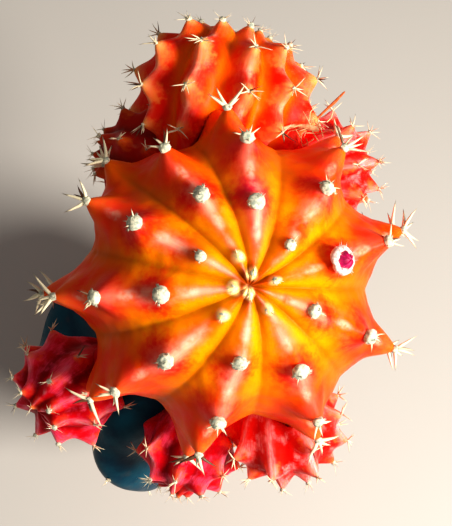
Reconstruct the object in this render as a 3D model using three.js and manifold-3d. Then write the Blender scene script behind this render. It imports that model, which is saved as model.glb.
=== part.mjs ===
// Potted moon cactus: a ribbed orange head with six red offsets round its lower half,
// grafted on a three-winged green stock that stands in soil in a small clay pot.
// Millimetres, +Z up. The origin is the centre of the pot's underside.
import * as THREE from 'three';
import { mergeVertices } from 'three/addons/utils/BufferGeometryUtils.js';
import Module from 'manifold-3d';

const wasm = await Module();
wasm.setup();
const { Manifold, Mesh: SolidMesh } = wasm;

const DEGREE = Math.PI / 180;

// Gap kept between pieces that touch on the real plant
const SEAT_GAP = 0.35;
const WELD = 1e-4;

// Clay pot
const POT_HEIGHT = 56;
const POT_RIM_RADIUS = 30;
const POT_BASE_RADIUS = 20.5;
const RIM_BAND_HEIGHT = 13;
const RIM_BAND_STEP = 1.8;
const RIM_BAND_TAPER = 0.6;
const RIM_BAND_EDGE = 0.7;
const POT_WALL = 3.6;
const POT_FLOOR_WALL = 3;
const POT_FLOOR = 5;
const POT_SIDES = 32;
const EDGE_ROUND = 1.1;
const DRAIN_COUNT = 3;
const DRAIN_RADIUS = 4;
const DRAIN_CIRCLE = 12;
const DRAIN_SIDES = 12;

// Soil
const SOIL_LEVEL = 49;
const SOIL_RELIEF = 0.9;
const BROAD_CLODS = { x: 0.71, y: 0.83, fromX: 1.3, fromY: -0.4 };
const FINE_CLODS = { x: 1.37, y: -1.11, share: 0.6 };
const SOIL_RINGS = [0.88, 0.7, 0.52, 0.34, 0.17];

// Stock: a three-winged stem that bows towards the front left and comes back under the head.
// Each wing has its azimuth and the share of the stations' wing measure that it reaches.
const BOW_DIRECTION = new THREE.Vector2(-0.54, -0.84);
const WINGS = [{ azimuth: 18, reach: 1 }, { azimuth: 148, reach: 1.17 }, { azimuth: 252, reach: 1.03 }];
const WING_BLUNTNESS = 3.4;
const WING_TWIST = 19;
const TWIST_HEIGHT = 88;
const TWIST_SPAN = 8;
const STOCK_SIDES = 36;
const STOCK_SIDES_START = 8;
const STOCK_STATIONS = [
  { z: 24, bow: 5, wing: 10.5, core: 5.5 },
  { z: 36, bow: 6, wing: 12, core: 6.5 },
  { z: 50, bow: 8.5, wing: 13.5, core: 7.5 },
  { z: 60, bow: 11.5, wing: 15.5, core: 8.5 },
  { z: 69, bow: 15.5, wing: 19.5, core: 9 },
  { z: 78, bow: 18.5, wing: 22.5, core: 9.5 },
  { z: 87, bow: 19, wing: 23.5, core: 10 },
  { z: 96, bow: 17, wing: 22.3, core: 10.5 },
  { z: 104, bow: 13.5, wing: 19.8, core: 11 },
  { z: 110, bow: 10.5, wing: 16.5, core: 10.5 },
  { z: 116, bow: 8, wing: 11.5, core: 9 },
];

// Main head: ten ribs, each with its azimuth and the polar angle of its first areole
const HEAD_CENTRE = new THREE.Vector3(-2.7, -4.2, 134);
const HEAD_AXIS = new THREE.Vector3(-0.027, -0.294, 0.955);
const HEAD_RIBS = [
  { azimuth: -173, first: 6 },
  { azimuth: -138, first: 14 },
  { azimuth: -101, first: 3 },
  { azimuth: -60, first: 11 },
  { azimuth: -21, first: 25 },
  { azimuth: 19, first: 10 },
  { azimuth: 55, first: 20.5 },
  { azimuth: 94, first: 5 },
  { azimuth: 124, first: 11.5 },
  { azimuth: 155, first: 20 },
];
// Noses that stand low down beside a rib, and the ribs that end early, with their areole counts
const LOW_AREOLES = [
  { rib: 7.11, theta: 68 },
  { rib: 7.11, theta: 88 },
  { rib: 8.5, theta: 82 },
  { rib: 8.5, theta: 95 },
];
const SHORT_RIBS = { 7: 3, 8: 3, 9: 3 };
const HEAD_SEED = 7;
// Where the head is pressed in, or bulges, with the depth as a share of its radius
const PRESSINGS = [
  { middle: 130, spread: 30, depth: 0.05 },
  { middle: -42, spread: 16, depth: -0.09 },
];
const BUD_RIB = 5;
const BUD_STEP = 1;
const BUD_RADIUS = 2.1;
const BUD_SIDES = 8;

// Offsets: reach of their tips, centre measured from the head's centre, the direction that their
// crown grows in, and the azimuth and first areole of each rib about that direction
const OFFSETS = [
  {
    name: 'offset_back',
    size: 16.2,
    from: [-0.8, 35, 0.3],
    towards: [0.21, 1, 0.4],
    ribs: [
      [-158, 18], [-127, 38], [-93, 33], [-65, 24], [-21, 10.5],
      [8, 27], [37, 24], [84, 34], [115, 17], [151, 32],
    ],
  },
  {
    name: 'offset_back_right',
    size: 10.8,
    from: [19.4, 23.8, -5.5],
    towards: [0.87, 0.3, -0.38],
    ribs: [
      [-141, 29], [-108, 19], [-75, 9], [-16, 19], [38, 13],
      [80, 41], [134, 35], [180, 17],
    ],
  },
  {
    name: 'offset_back_left',
    size: 9.9,
    from: [-14.4, 23.8, -6.6],
    towards: [-0.87, 0.39, -0.29],
    ribs: [
      [-167, 11], [-131, 29], [-86, 21], [-36, 8], [16, 19],
      [59, 10], [106, 27], [149, 38],
    ],
  },
  {
    name: 'offset_front_left',
    size: 11.2,
    from: [-25.8, -16.8, -22.7],
    towards: [-0.74, -0.56, 0.36],
    ribs: [
      [-172, 40], [-117, 41], [-60, 41], [-14, 33], [19, 34],
      [51, 14], [100, 24], [133, 42],
    ],
  },
  {
    name: 'offset_front',
    size: 10.2,
    from: [-2.8, -27.4, -25.7],
    towards: [-0.31, -0.92, -0.23],
    ribs: [
      [-179, 29], [-146, 24], [-109, 24], [-76, 16], [-24, 18],
      [33, 10], [79, 20], [122, 42],
    ],
  },
  {
    name: 'offset_front_right',
    size: 11.2,
    from: [13.9, -24.3, -16.1],
    towards: [0.32, -0.69, -0.65],
    ribs: [
      [-165, 21], [-130, 24], [-82, 41], [-22, 9], [25, 29],
      [67, 9], [114, 32], [157, 41],
    ],
  },
];
const LARGE_OFFSET = 12;
const FIRST_OFFSET_SEED = 31;
const NECK_RADIUS = 4.2;
const NECK_SIDES = 8;
const NECK_REACH = 0.8;
const NECK_TAPER = 0.8;

// Areoles follow each rib in steps that shorten from the crown down
const AREOLE_STEP = 24;
const AREOLE_STEP_SHRINK = 1.9;
const AREOLE_STEP_LEAST = 14;

const CROWN_ANGLE = 28;

// Relief of a head
const DIMPLE_ANGLE = 9;
const SWEEP_FADE = 25;
const RELIEF_POWER = 1.1;
const UNDERSIDE_ANGLE = 112;
const UNDERSIDE_FADE = 55;
const CREASE_POWER = 1.7;
const RIB_RISE_ANGLE = 5;
const RIB_END_ANGLE = 176;
const RIB_END_FADE = 30;
const NOSE_STRETCH = 0.85;
const NOSE_ROUNDING = 0.3;
const NOSE_REACH = 6;
const FIRST_ROW_REACH = 0.8;

// Spines start at the middle of their wool cushion and lean out from it in a fan
const SPINE_LENGTH = 4.6;
const SPINE_LENGTH_RANGE = [0.8, 1.2];
const SPINE_RADIUS = 0.27;
const SPINE_LEAN = 58;
const SPINE_LEAN_SPREAD = 24;
const SPINE_FAN = 260;
const SPINE_FAN_SPREAD = 30;
const SPINE_CLEARANCE = 0.9;
const WOOL_CLEARANCE = 0.6;
const WOOL_FLATNESS = 0.8;

const clay = new THREE.MeshStandardMaterial({ color: 0xb4643e, roughness: 0.9, metalness: 0 });
const earth = new THREE.MeshStandardMaterial({ color: 0x3b2a1e, roughness: 1, metalness: 0 });
const stockGreen = new THREE.MeshStandardMaterial({ color: 0x1f4a4c, roughness: 0.5, metalness: 0 });
const orangeFlesh = new THREE.MeshStandardMaterial({ color: 0xf4701c, roughness: 0.4, metalness: 0 });
const redFlesh = new THREE.MeshStandardMaterial({ color: 0xd91f2c, roughness: 0.4, metalness: 0 });
const coralFlesh = new THREE.MeshStandardMaterial({ color: 0xf04a22, roughness: 0.4, metalness: 0 });

// Repeatable random numbers between 0 and 1
function seededRandom(seed) {
  let state = seed >>> 0;
  return () => {
    state = (state + 0x6d2b79f5) >>> 0;
    let t = Math.imul(state ^ (state >>> 15), state | 1);
    t ^= t + Math.imul(t ^ (t >>> 7), t | 61);
    return ((t ^ (t >>> 14)) >>> 0) / 4294967296;
  };
}

function mix(a, b, t) {
  return a + (b - a) * t;
}

// A closed geometry with shared vertices as a solid that can be joined and cut
function toSolid(geometry) {
  geometry.deleteAttribute('normal');
  geometry.deleteAttribute('uv');
  const welded = mergeVertices(geometry, WELD);
  return new Manifold(new SolidMesh({
    numProp: 3,
    vertProperties: new Float32Array(welded.attributes.position.array),
    triVerts: new Uint32Array(welded.index.array),
  }));
}

// A solid as a named mesh that keeps its own frame
function toMesh(name, solid, material, frame = new THREE.Matrix4()) {
  const { vertProperties, triVerts } = solid.getMesh();
  const geometry = new THREE.BufferGeometry();
  geometry.setAttribute('position', new THREE.BufferAttribute(new Float32Array(vertProperties), 3));
  geometry.setIndex(new THREE.BufferAttribute(new Uint32Array(triVerts), 1));
  geometry.applyMatrix4(frame.clone().invert());
  geometry.computeVertexNormals();
  const mesh = new THREE.Mesh(geometry, material);
  mesh.name = name;
  mesh.applyMatrix4(frame);
  return mesh;
}

// Signed difference of two azimuths in degrees, from -180 to 180
function turnBetween(a, b) {
  return ((a - b + 540) % 360 + 360) % 360 - 180;
}

// Azimuth at the rib coordinate w: whole numbers are crests, halves are creases
function azimuthAt(form, w) {
  const count = form.ribs.length;
  const lower = ((Math.floor(w) % count) + count) % count;
  const from = form.ribs[lower].azimuth;
  const span = turnBetween(form.ribs[(lower + 1) % count].azimuth, from);
  return from + (w - Math.floor(w)) * (span < 0 ? span + 360 : span);
}

// Rib coordinate of an azimuth
function ribCoordinate(form, azimuth) {
  const count = form.ribs.length;
  for (let i = 0; i < count; i += 1) {
    const span = (turnBetween(form.ribs[(i + 1) % count].azimuth, form.ribs[i].azimuth) + 360) % 360;
    const into = (turnBetween(azimuth, form.ribs[i].azimuth) + 360) % 360;
    if (into < span) return i + into / span;
  }
  return 0;
}

// Near the crown the ribs sweep sideways, as if the crown had grown towards azimuth zero
function crownSweep(form, theta, azimuth) {
  return -form.sweep * Math.sin(azimuth * DEGREE) * Math.exp(-theta / SWEEP_FADE);
}

function listAreoles(form) {
  const areoles = form.lowAreoles.map((low) => ({ ...low, step: 0, azimuth: azimuthAt(form, low.rib) }));
  form.ribs.forEach((rib, index) => {
    let theta = rib.first;
    for (let step = 0; theta < form.lastAreole; step += 1) {
      if (step >= form.shortRibs[index]) break;
      areoles.push({ rib: index, step, theta, azimuth: rib.azimuth });
      theta += Math.max(AREOLE_STEP_LEAST, AREOLE_STEP - AREOLE_STEP_SHRINK * step) * form.stepScale;
    }
  });
  return areoles;
}

// Smooth body under the ribs: a flattened globe with a dimple at its crown, squarer with more power
function bodyRadius(form, theta) {
  const tall = theta < 90 ? form.above : form.below;
  const across = (Math.sin(theta * DEGREE) / form.wide) ** form.bodyPower;
  const along = Math.abs(Math.cos(theta * DEGREE) / tall) ** form.bodyPower;
  const dimple = form.dimple * Math.exp(-((theta / DIMPLE_ANGLE) ** 2));
  return (across + along) ** (-1 / form.bodyPower) - dimple;
}

// How much of the side's relief is present at a polar angle
function reliefShare(theta) {
  const upper = Math.sin(Math.min(theta, 90) * DEGREE) ** RELIEF_POWER;
  return upper * Math.min(1, Math.max(0, 1 - (theta - UNDERSIDE_ANGLE) / UNDERSIDE_FADE));
}

// Distance from the centre to the skin, at polar angle theta and rib coordinate w
function skinRadius(form, theta, w) {
  const body = bodyRadius(form, theta);
  const share = reliefShare(theta);
  const offCrest = 2 * Math.abs(w - Math.round(w));
  const underFade = Math.max(0, (RIB_END_ANGLE - theta) / RIB_END_FADE);
  const poleFade = Math.min(1, theta / RIB_RISE_ANGLE, underFade);
  const ribHeight = mix(form.ribNear, form.ribFar, share) * poleFade;
  const creased = 1 - offCrest ** CREASE_POWER;
  const waved = 0.5 + 0.5 * Math.cos(Math.PI * offCrest);
  const azimuth = azimuthAt(form, w);
  let pressed = 0;
  for (const { middle, spread, depth } of form.pressings) {
    pressed += depth * Math.exp(-((turnBetween(azimuth, middle) / spread) ** 2));
  }
  let radius = body * (1 - pressed * share) + ribHeight * mix(creased, waved, share);
  for (const areole of form.areoles) {
    const along = body * (theta - areole.theta) * DEGREE;
    if (Math.abs(along) > form.flareFar * NOSE_REACH) continue;
    const across = body * Math.sin(theta * DEGREE) * turnBetween(azimuth, areole.azimuth) * DEGREE;
    const areoleShare = reliefShare(areole.theta);
    const flare = mix(form.flareNear, form.flareFar, areoleShare);
    const rounding = flare * NOSE_ROUNDING;
    const distance = Math.hypot(along * NOSE_STRETCH, across, rounding) - rounding;
    radius += mix(form.noseNear, form.noseFar, areoleShare) * Math.exp(-distance / flare);
  }
  return radius;
}

function skinPoint(form, theta, w, outward = 0) {
  const azimuth = azimuthAt(form, w);
  const turned = (azimuth + crownSweep(form, theta, azimuth)) * DEGREE;
  const radius = skinRadius(form, theta, w) + outward;
  return new THREE.Vector3().setFromSphericalCoords(radius, theta * DEGREE, turned + Math.PI / 2)
    .applyAxisAngle(new THREE.Vector3(1, 0, 0), Math.PI / 2);
}

// Polar angles of the rows are shifted on each rib and each low areole's column, so that a row
// passes over the areoles there. The first row reaches further, as the pole can't move.
function rowAngle(form, row, rows, w) {
  const even = 180 * row / rows;
  const spacing = 180 / rows;
  const reach = spacing * (row === 1 ? FIRST_ROW_REACH : 0.5);
  const shiftOf = (rib) => {
    const nearest = form.areoles.filter((a) => a.rib === rib).map((a) => a.theta - even);
    const closest = nearest.reduce((best, d) => (Math.abs(d) < Math.abs(best) ? d : best), spacing);
    return Math.abs(closest) <= reach ? closest : 0;
  };
  const count = form.ribs.length;
  const lower = Math.floor(w) % count;
  const share = w - Math.floor(w);
  const low = form.lowAreoles.find((areole) => Math.abs(areole.rib - w) < WELD);
  if (low) return even + shiftOf(low.rib);
  const blend = share < 0.5 ? Math.max(0, 1 - 3 * share) : Math.max(0, 3 * share - 2);
  const rib = share < 0.5 ? lower : (lower + 1) % count;
  return row === 0 || row === rows ? even : even + blend * shiftOf(rib);
}

// Rib coordinate of a grid column: the columns crowd towards each crest
function columnCoordinate(form, column) {
  const shares = form.columnShares;
  return Math.floor(column / shares.length) + shares[column % shares.length];
}

// Skin of a head as a closed grid: a sphere's grid whose points are moved to the formula
function skinGeometry(form, frame, outward = 0) {
  const columns = form.ribs.length * form.columnShares.length;
  const sphere = new THREE.SphereGeometry(1, columns, form.rows);
  const position = sphere.attributes.position;
  for (let i = 0; i < position.count; i += 1) {
    const row = Math.floor(i / (columns + 1));
    const w = columnCoordinate(form, (i % (columns + 1)) % columns);
    const theta = rowAngle(form, row, form.rows, w);
    const onPole = row === 0 || row === form.rows;
    const point = skinPoint(form, theta, onPole ? 0 : w, outward);
    if (onPole) point.set(0, 0, point.z);
    position.setXYZ(i, point.x, point.y, point.z);
  }
  return sphere.applyMatrix4(frame);
}

// Whether a point lies inside a head's skin, or within a margin of it
function insideForm(form, frame, point, margin) {
  const local = point.clone().applyMatrix4(frame.clone().invert());
  const theta = local.angleTo(new THREE.Vector3(0, 0, 1)) / DEGREE;
  const azimuth = Math.atan2(local.y, local.x) / DEGREE;
  const w = ribCoordinate(form, azimuth - crownSweep(form, theta, azimuth));
  return local.length() < skinRadius(form, theta, w) + margin;
}

// A frame whose +Z runs along an axis
function frameAlong(origin, axis) {
  const up = new THREE.Vector3(0, 0, 1);
  const lean = new THREE.Quaternion().setFromUnitVectors(up, axis.clone().normalize());
  return new THREE.Matrix4().compose(origin, lean, new THREE.Vector3(1, 1, 1));
}

// A long thin cone from its root towards a direction
function spineSolid(root, direction, length) {
  const cone = new THREE.ConeGeometry(SPINE_RADIUS, length, 3, 1);
  cone.translate(0, length / 2, 0);
  cone.applyQuaternion(new THREE.Quaternion().setFromUnitVectors(new THREE.Vector3(0, 1, 0), direction));
  cone.translate(root.x, root.y, root.z);
  return toSolid(cone);
}

// A low cushion of wool, or the rounder flower bud, on the tip of a nose
function cushionSolid(centre, outward, radius, sides) {
  const ball = new THREE.SphereGeometry(radius, sides, sides < BUD_SIDES ? 2 : 4);
  ball.scale(1, WOOL_FLATNESS, 1);
  ball.applyQuaternion(new THREE.Quaternion().setFromUnitVectors(new THREE.Vector3(0, 1, 0), outward));
  ball.translate(centre.x, centre.y, centre.z);
  return toSolid(ball);
}

// Directions in which the spines of an areole lean, in the head's own frame
function spineDirection(outward, down, turn, lean) {
  const side = new THREE.Vector3().crossVectors(outward, down);
  return outward.clone().multiplyScalar(Math.cos(lean * DEGREE))
    .addScaledVector(down, Math.sin(lean * DEGREE) * Math.cos(turn * DEGREE))
    .addScaledVector(side, Math.sin(lean * DEGREE) * Math.sin(turn * DEGREE))
    .normalize();
}

// Wool cushions and spines of a head, leaving out those that would meet a neighbour
function areoleSolids(form, frame, random, blocked) {
  const solids = [];
  const rotation = new THREE.Matrix4().extractRotation(frame);
  for (const areole of form.areoles) {
    const place = skinPoint(form, areole.theta, areole.rib);
    const outward = place.clone().normalize();
    const down = skinPoint(form, areole.theta + 1, areole.rib).normalize().sub(outward).normalize();
    const tip = place.applyMatrix4(frame);
    const facing = outward.clone().applyMatrix4(rotation);
    const inCrown = areole.theta < CROWN_ANGLE;
    const isBud = form.budRib === areole.rib && areole.step === BUD_STEP;
    const radius = isBud ? BUD_RADIUS : (inCrown ? form.woolNear : form.woolFar);
    if (blocked(tip.clone().addScaledVector(facing, radius), WOOL_CLEARANCE)) continue;
    solids.push(cushionSolid(tip, facing, radius, isBud ? BUD_SIDES : form.woolSides));
    const count = isBud ? 0 : (inCrown ? form.spinesNear : form.spinesFar);
    for (let k = 0; k < count; k += 1) {
      const turn = ((k + 0.5) / count - 0.5) * SPINE_FAN + (random() - 0.5) * SPINE_FAN_SPREAD;
      const lean = SPINE_LEAN + (random() - 0.5) * SPINE_LEAN_SPREAD;
      const length = form.spineLength * mix(...SPINE_LENGTH_RANGE, random());
      const direction = spineDirection(outward, down, turn, lean).applyMatrix4(rotation);
      const along = [0.5, 1].map((share) => tip.clone().addScaledVector(direction, length * share));
      if (along.some((point) => blocked(point, SPINE_CLEARANCE))) continue;
      solids.push(spineSolid(tip, direction, length));
    }
  }
  return solids;
}

// A measure of the stock at a height, between its stations
function stockMeasure(key, z) {
  const last = STOCK_STATIONS.length - 1;
  const found = STOCK_STATIONS.findIndex((station) => station.z >= z);
  const upper = STOCK_STATIONS[found < 0 ? last : Math.max(1, found)];
  const lower = STOCK_STATIONS[STOCK_STATIONS.indexOf(upper) - 1];
  const share = (z - lower.z) / (upper.z - lower.z);
  return mix(lower[key], upper[key], Math.min(1, Math.max(0, share)));
}

function stockCentre(z) {
  return BOW_DIRECTION.clone().setLength(stockMeasure('bow', z));
}

// The wings turn about the stem with height, mostly where it bows out
function stockTwist(z) {
  return WING_TWIST * Math.tanh((z - TWIST_HEIGHT) / TWIST_SPAN);
}

function stockRadius(z, azimuth) {
  const core = stockMeasure('core', z);
  let radius = core;
  for (const wing of WINGS) {
    const offWing = Math.min(60, Math.abs(turnBetween(azimuth + stockTwist(z), wing.azimuth)));
    const fullness = Math.max(0, Math.cos(1.5 * offWing * DEGREE)) ** WING_BLUNTNESS;
    radius += (stockMeasure('wing', z) * wing.reach - core) * fullness;
  }
  return radius;
}

function insideStock(point, margin) {
  if (point.z > STOCK_STATIONS.at(-1).z + margin) return false;
  const centre = stockCentre(point.z);
  const azimuth = Math.atan2(point.y - centre.y, point.x - centre.x) / DEGREE;
  return Math.hypot(point.x - centre.x, point.y - centre.y) < stockRadius(point.z, azimuth) + margin;
}

// Stem lofted through its stations, one ring of points at each
function stockGeometry(outward) {
  const levels = STOCK_STATIONS.length - 1;
  const bottom = STOCK_STATIONS[0].z;
  const top = STOCK_STATIONS[levels].z;
  const drum = new THREE.CylinderGeometry(1, 1, 1, STOCK_SIDES, levels);
  drum.rotateX(Math.PI / 2);
  const position = drum.attributes.position;
  for (let i = 0; i < position.count; i += 1) {
    const level = Math.round((position.getZ(i) + 0.5) * levels);
    const z = STOCK_STATIONS[level].z;
    const centre = stockCentre(z);
    const onAxis = Math.hypot(position.getX(i), position.getY(i)) < 0.5;
    const side = Math.atan2(position.getY(i), position.getX(i)) / DEGREE;
    const azimuth = side + STOCK_SIDES_START - stockTwist(z);
    const radius = onAxis ? 0 : stockRadius(z, azimuth) + outward;
    const x = centre.x + radius * Math.cos(azimuth * DEGREE);
    const y = centre.y + radius * Math.sin(azimuth * DEGREE);
    const raise = z === bottom ? -outward : (z === top ? outward : 0);
    position.setXYZ(i, x, y, z + raise);
  }
  return drum;
}

// Radius of the pot's inner wall at a height
function potInnerRadius(z) {
  const bottom = POT_BASE_RADIUS - POT_FLOOR_WALL;
  const top = POT_RIM_RADIUS - POT_WALL;
  return mix(bottom, top, (z - POT_FLOOR) / (POT_HEIGHT - POT_FLOOR));
}

function potSolid() {
  const bandBottom = POT_HEIGHT - RIM_BAND_HEIGHT;
  const bandRadius = POT_RIM_RADIUS - RIM_BAND_TAPER;
  const points = [
    [0, 0],
    [POT_BASE_RADIUS - EDGE_ROUND, 0],
    [POT_BASE_RADIUS, EDGE_ROUND],
    [bandRadius - RIM_BAND_STEP, bandBottom - RIM_BAND_EDGE],
    [bandRadius - RIM_BAND_EDGE, bandBottom],
    [bandRadius, bandBottom + RIM_BAND_EDGE],
    [POT_RIM_RADIUS, POT_HEIGHT - EDGE_ROUND],
    [POT_RIM_RADIUS - EDGE_ROUND, POT_HEIGHT],
    [potInnerRadius(POT_HEIGHT) + EDGE_ROUND, POT_HEIGHT],
    [potInnerRadius(POT_HEIGHT - EDGE_ROUND), POT_HEIGHT - EDGE_ROUND],
    [potInnerRadius(POT_FLOOR), POT_FLOOR],
    [0, POT_FLOOR],
  ];
  const shell = new THREE.LatheGeometry(points.map(([x, y]) => new THREE.Vector2(x, y)), POT_SIDES);
  shell.rotateX(Math.PI / 2);
  let pot = toSolid(shell);
  for (let i = 0; i < DRAIN_COUNT; i += 1) {
    const angle = (i / DRAIN_COUNT) * 2 * Math.PI;
    const drain = new THREE.CylinderGeometry(DRAIN_RADIUS, DRAIN_RADIUS, 2 * POT_FLOOR, DRAIN_SIDES);
    drain.rotateX(Math.PI / 2);
    drain.translate(DRAIN_CIRCLE * Math.cos(angle), DRAIN_CIRCLE * Math.sin(angle), POT_FLOOR / 2);
    pot = pot.subtract(toSolid(drain));
  }
  return pot;
}

// Uneven surface of the soil, in clods
function soilHeight(x, y) {
  const { x: alongX, y: alongY, fromX, fromY } = BROAD_CLODS;
  const broad = Math.sin(x * alongX + fromX) * Math.cos(y * alongY + fromY);
  const fine = FINE_CLODS.share * Math.sin(x * FINE_CLODS.x + y * FINE_CLODS.y);
  return SOIL_LEVEL + SOIL_RELIEF * (broad + fine);
}

function soilSolid() {
  const bottom = POT_FLOOR + SEAT_GAP;
  const side = potInnerRadius(SOIL_LEVEL) - SEAT_GAP;
  const points = [
    [0, bottom],
    [potInnerRadius(bottom) - SEAT_GAP, bottom],
    [side, SOIL_LEVEL],
    ...SOIL_RINGS.map((share) => [share * side, SOIL_LEVEL]),
    [0, SOIL_LEVEL],
  ];
  const body = new THREE.LatheGeometry(points.map(([x, y]) => new THREE.Vector2(x, y)), POT_SIDES);
  body.rotateX(Math.PI / 2);
  const position = body.attributes.position;
  for (let i = 0; i < position.count; i += 1) {
    const x = position.getX(i);
    const y = position.getY(i);
    const inside = Math.hypot(x, y) < side - 0.1;
    if (inside && position.getZ(i) > bottom + 1) position.setZ(i, soilHeight(x, y));
  }
  return toSolid(body);
}

// Form of the main head
const headForm = {
  ribs: HEAD_RIBS,
  lowAreoles: LOW_AREOLES,
  shortRibs: SHORT_RIBS,
  wide: 23.2,
  above: 21.6,
  below: 20.5,
  bodyPower: 2.15,
  pressings: PRESSINGS,
  dimple: 1.5,
  sweep: 22,
  ribNear: 0.6,
  ribFar: 1.7,
  noseNear: 0.5,
  noseFar: 5.4,
  flareNear: 1.7,
  flareFar: 2.6,
  lastAreole: 118,
  stepScale: 1,
  columnShares: [0, 0.11, 0.28, 0.5, 0.72, 0.89],
  rows: 18,
  woolNear: 1.3,
  woolFar: 1.45,
  woolSides: 4,
  spinesNear: 1,
  spinesFar: 2,
  spineLength: SPINE_LENGTH,
  budRib: BUD_RIB,
};
headForm.areoles = listAreoles(headForm);

// Form of an offset, a smaller and rounder head of the same growth
function offsetForm({ size, ribs }) {
  const large = size > LARGE_OFFSET;
  const form = {
    ribs: ribs.map(([azimuth, first]) => ({ azimuth, first })),
    lowAreoles: [],
    shortRibs: {},
    wide: size * (large ? 0.67 : 0.72),
    above: size * (large ? 0.54 : 0.68),
    below: size * (large ? 1.3 : 1),
    bodyPower: large ? 2.5 : 2.15,
    pressings: [],
    dimple: size * 0.05,
    sweep: 0,
    ribNear: size * 0.03,
    ribFar: size * 0.06,
    noseNear: size * (large ? -0.06 : 0.11),
    noseFar: size * (large ? 0.23 : 0.19),
    flareNear: size * 0.07,
    flareFar: size * (large ? 0.11 : 0.12),
    lastAreole: large ? 130 : 110,
    stepScale: large ? 1.22 : 1.5,
    columnShares: [0, 0.2, 0.5, 0.8],
    rows: large ? 12 : 9,
    woolNear: 0.7,
    woolFar: large ? 0.9 : 0.8,
    woolSides: 3,
    spinesNear: 1,
    spinesFar: large ? 2 : 1,
    spineLength: large ? 3.6 : 3.1,
    budRib: -1,
  };
  form.areoles = listAreoles(form);
  return form;
}

const headFrame = frameAlong(HEAD_CENTRE, HEAD_AXIS);
const offsets = OFFSETS.map((offset, index) => {
  const random = seededRandom(FIRST_OFFSET_SEED + index);
  const centre = new THREE.Vector3(...offset.from).add(HEAD_CENTRE);
  const frame = frameAlong(centre, new THREE.Vector3(...offset.towards));
  return { ...offset, centre, frame, random, form: offsetForm(offset) };
});

// Short stalk that ties an offset to the flank of the head
function neckSolid(offset) {
  const towardsHead = HEAD_CENTRE.clone().sub(offset.centre);
  const length = towardsHead.length() * NECK_REACH;
  const stalk = new THREE.CylinderGeometry(NECK_RADIUS * NECK_TAPER, NECK_RADIUS, length, NECK_SIDES, 1);
  stalk.translate(0, length / 2, 0);
  stalk.applyQuaternion(new THREE.Quaternion().setFromUnitVectors(
    new THREE.Vector3(0, 1, 0), towardsHead.normalize()));
  stalk.translate(offset.centre.x, offset.centre.y, offset.centre.z);
  return toSolid(stalk);
}

const group = new THREE.Group();

group.add(toMesh('pot', potSolid(), clay));
group.add(toMesh('soil', soilSolid().subtract(toSolid(stockGeometry(SEAT_GAP))), earth));

// The head keeps its full form, and the offsets and the stock are pressed against it
const headClear = toSolid(skinGeometry(headForm, headFrame, SEAT_GAP));
const clearances = [headClear];
const headBlocked = (point, margin) => insideStock(point, margin)
  || offsets.some((offset) => insideForm(offset.form, offset.frame, point, margin));
const headParts = areoleSolids(headForm, headFrame, seededRandom(HEAD_SEED), headBlocked);
const head = Manifold.union([toSolid(skinGeometry(headForm, headFrame)), ...headParts]);
group.add(toMesh('head_main', head, orangeFlesh, headFrame));

for (const offset of offsets) {
  const others = offsets.filter((other) => other !== offset);
  const blocked = (point, margin) => insideStock(point, margin)
    || insideForm(headForm, headFrame, point, margin)
    || others.some((other) => insideForm(other.form, other.frame, point, margin));
  const parts = areoleSolids(offset.form, offset.frame, offset.random, blocked);
  const skin = toSolid(skinGeometry(offset.form, offset.frame));
  let solid = Manifold.union([skin, neckSolid(offset), ...parts]);
  for (const clearance of clearances) solid = solid.subtract(clearance);
  clearances.push(toSolid(skinGeometry(offset.form, offset.frame, SEAT_GAP)));
  const flesh = offset.size > LARGE_OFFSET ? coralFlesh : redFlesh;
  group.add(toMesh(offset.name, solid, flesh, offset.frame));
}

let stock = toSolid(stockGeometry(0));
for (const clearance of clearances) stock = stock.subtract(clearance);
group.add(toMesh('stock', stock, stockGreen));

export default group;
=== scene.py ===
"""Potted moon cactus: skins, wool, spines, stock, pot, soil and studio for the packed part.

Measures of the plant are in millimetres and degrees, as in the part's source, and are made
metres where a mesh is written. The frame is the part's own: +Z up, origin under the pot.
"""

import math
from collections import namedtuple

import bpy
import numpy as np
from bpy.props import FloatProperty, FloatVectorProperty, IntProperty, PointerProperty
from mathutils import Matrix, Vector


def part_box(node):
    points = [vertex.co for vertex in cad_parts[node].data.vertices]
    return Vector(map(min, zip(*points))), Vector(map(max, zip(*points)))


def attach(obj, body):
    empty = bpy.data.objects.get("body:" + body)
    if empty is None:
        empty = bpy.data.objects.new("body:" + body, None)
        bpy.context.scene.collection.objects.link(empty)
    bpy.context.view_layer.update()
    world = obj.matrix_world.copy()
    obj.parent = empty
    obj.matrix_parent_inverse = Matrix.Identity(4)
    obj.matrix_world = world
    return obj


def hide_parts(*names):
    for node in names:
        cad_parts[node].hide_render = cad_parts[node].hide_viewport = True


bl_info = {
    "name": "Potted moon cactus",
    "version": (1, 0, 0),
    "blender": (4, 5, 0),
    "location": "3D View > Sidebar > Moon cactus",
    "description": "Finished skins, wool, spines, stock, pot and soil for the packed moon cactus",
    "category": "Add Mesh",
}

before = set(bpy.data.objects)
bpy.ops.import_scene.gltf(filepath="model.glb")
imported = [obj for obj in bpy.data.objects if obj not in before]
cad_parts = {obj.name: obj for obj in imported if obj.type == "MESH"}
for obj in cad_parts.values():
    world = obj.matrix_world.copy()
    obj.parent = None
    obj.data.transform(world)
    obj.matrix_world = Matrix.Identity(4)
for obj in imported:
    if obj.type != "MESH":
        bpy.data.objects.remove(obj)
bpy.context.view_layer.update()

MM = 0.001
DEGREE = math.pi / 180
TURN = 2 * math.pi

# Main head: ten ribs, each with its azimuth and the polar angle of its first areole
HEAD_CENTRE = (-2.7, -4.2, 134.0)
HEAD_AXIS = (-0.027, -0.294, 0.955)
HEAD_RIBS = (
    (-173, 6), (-138, 14), (-101, 3), (-60, 11), (-21, 25),
    (19, 10), (55, 20.5), (94, 5), (124, 11.5), (155, 20),
)
HEAD_SEED = 7
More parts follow.
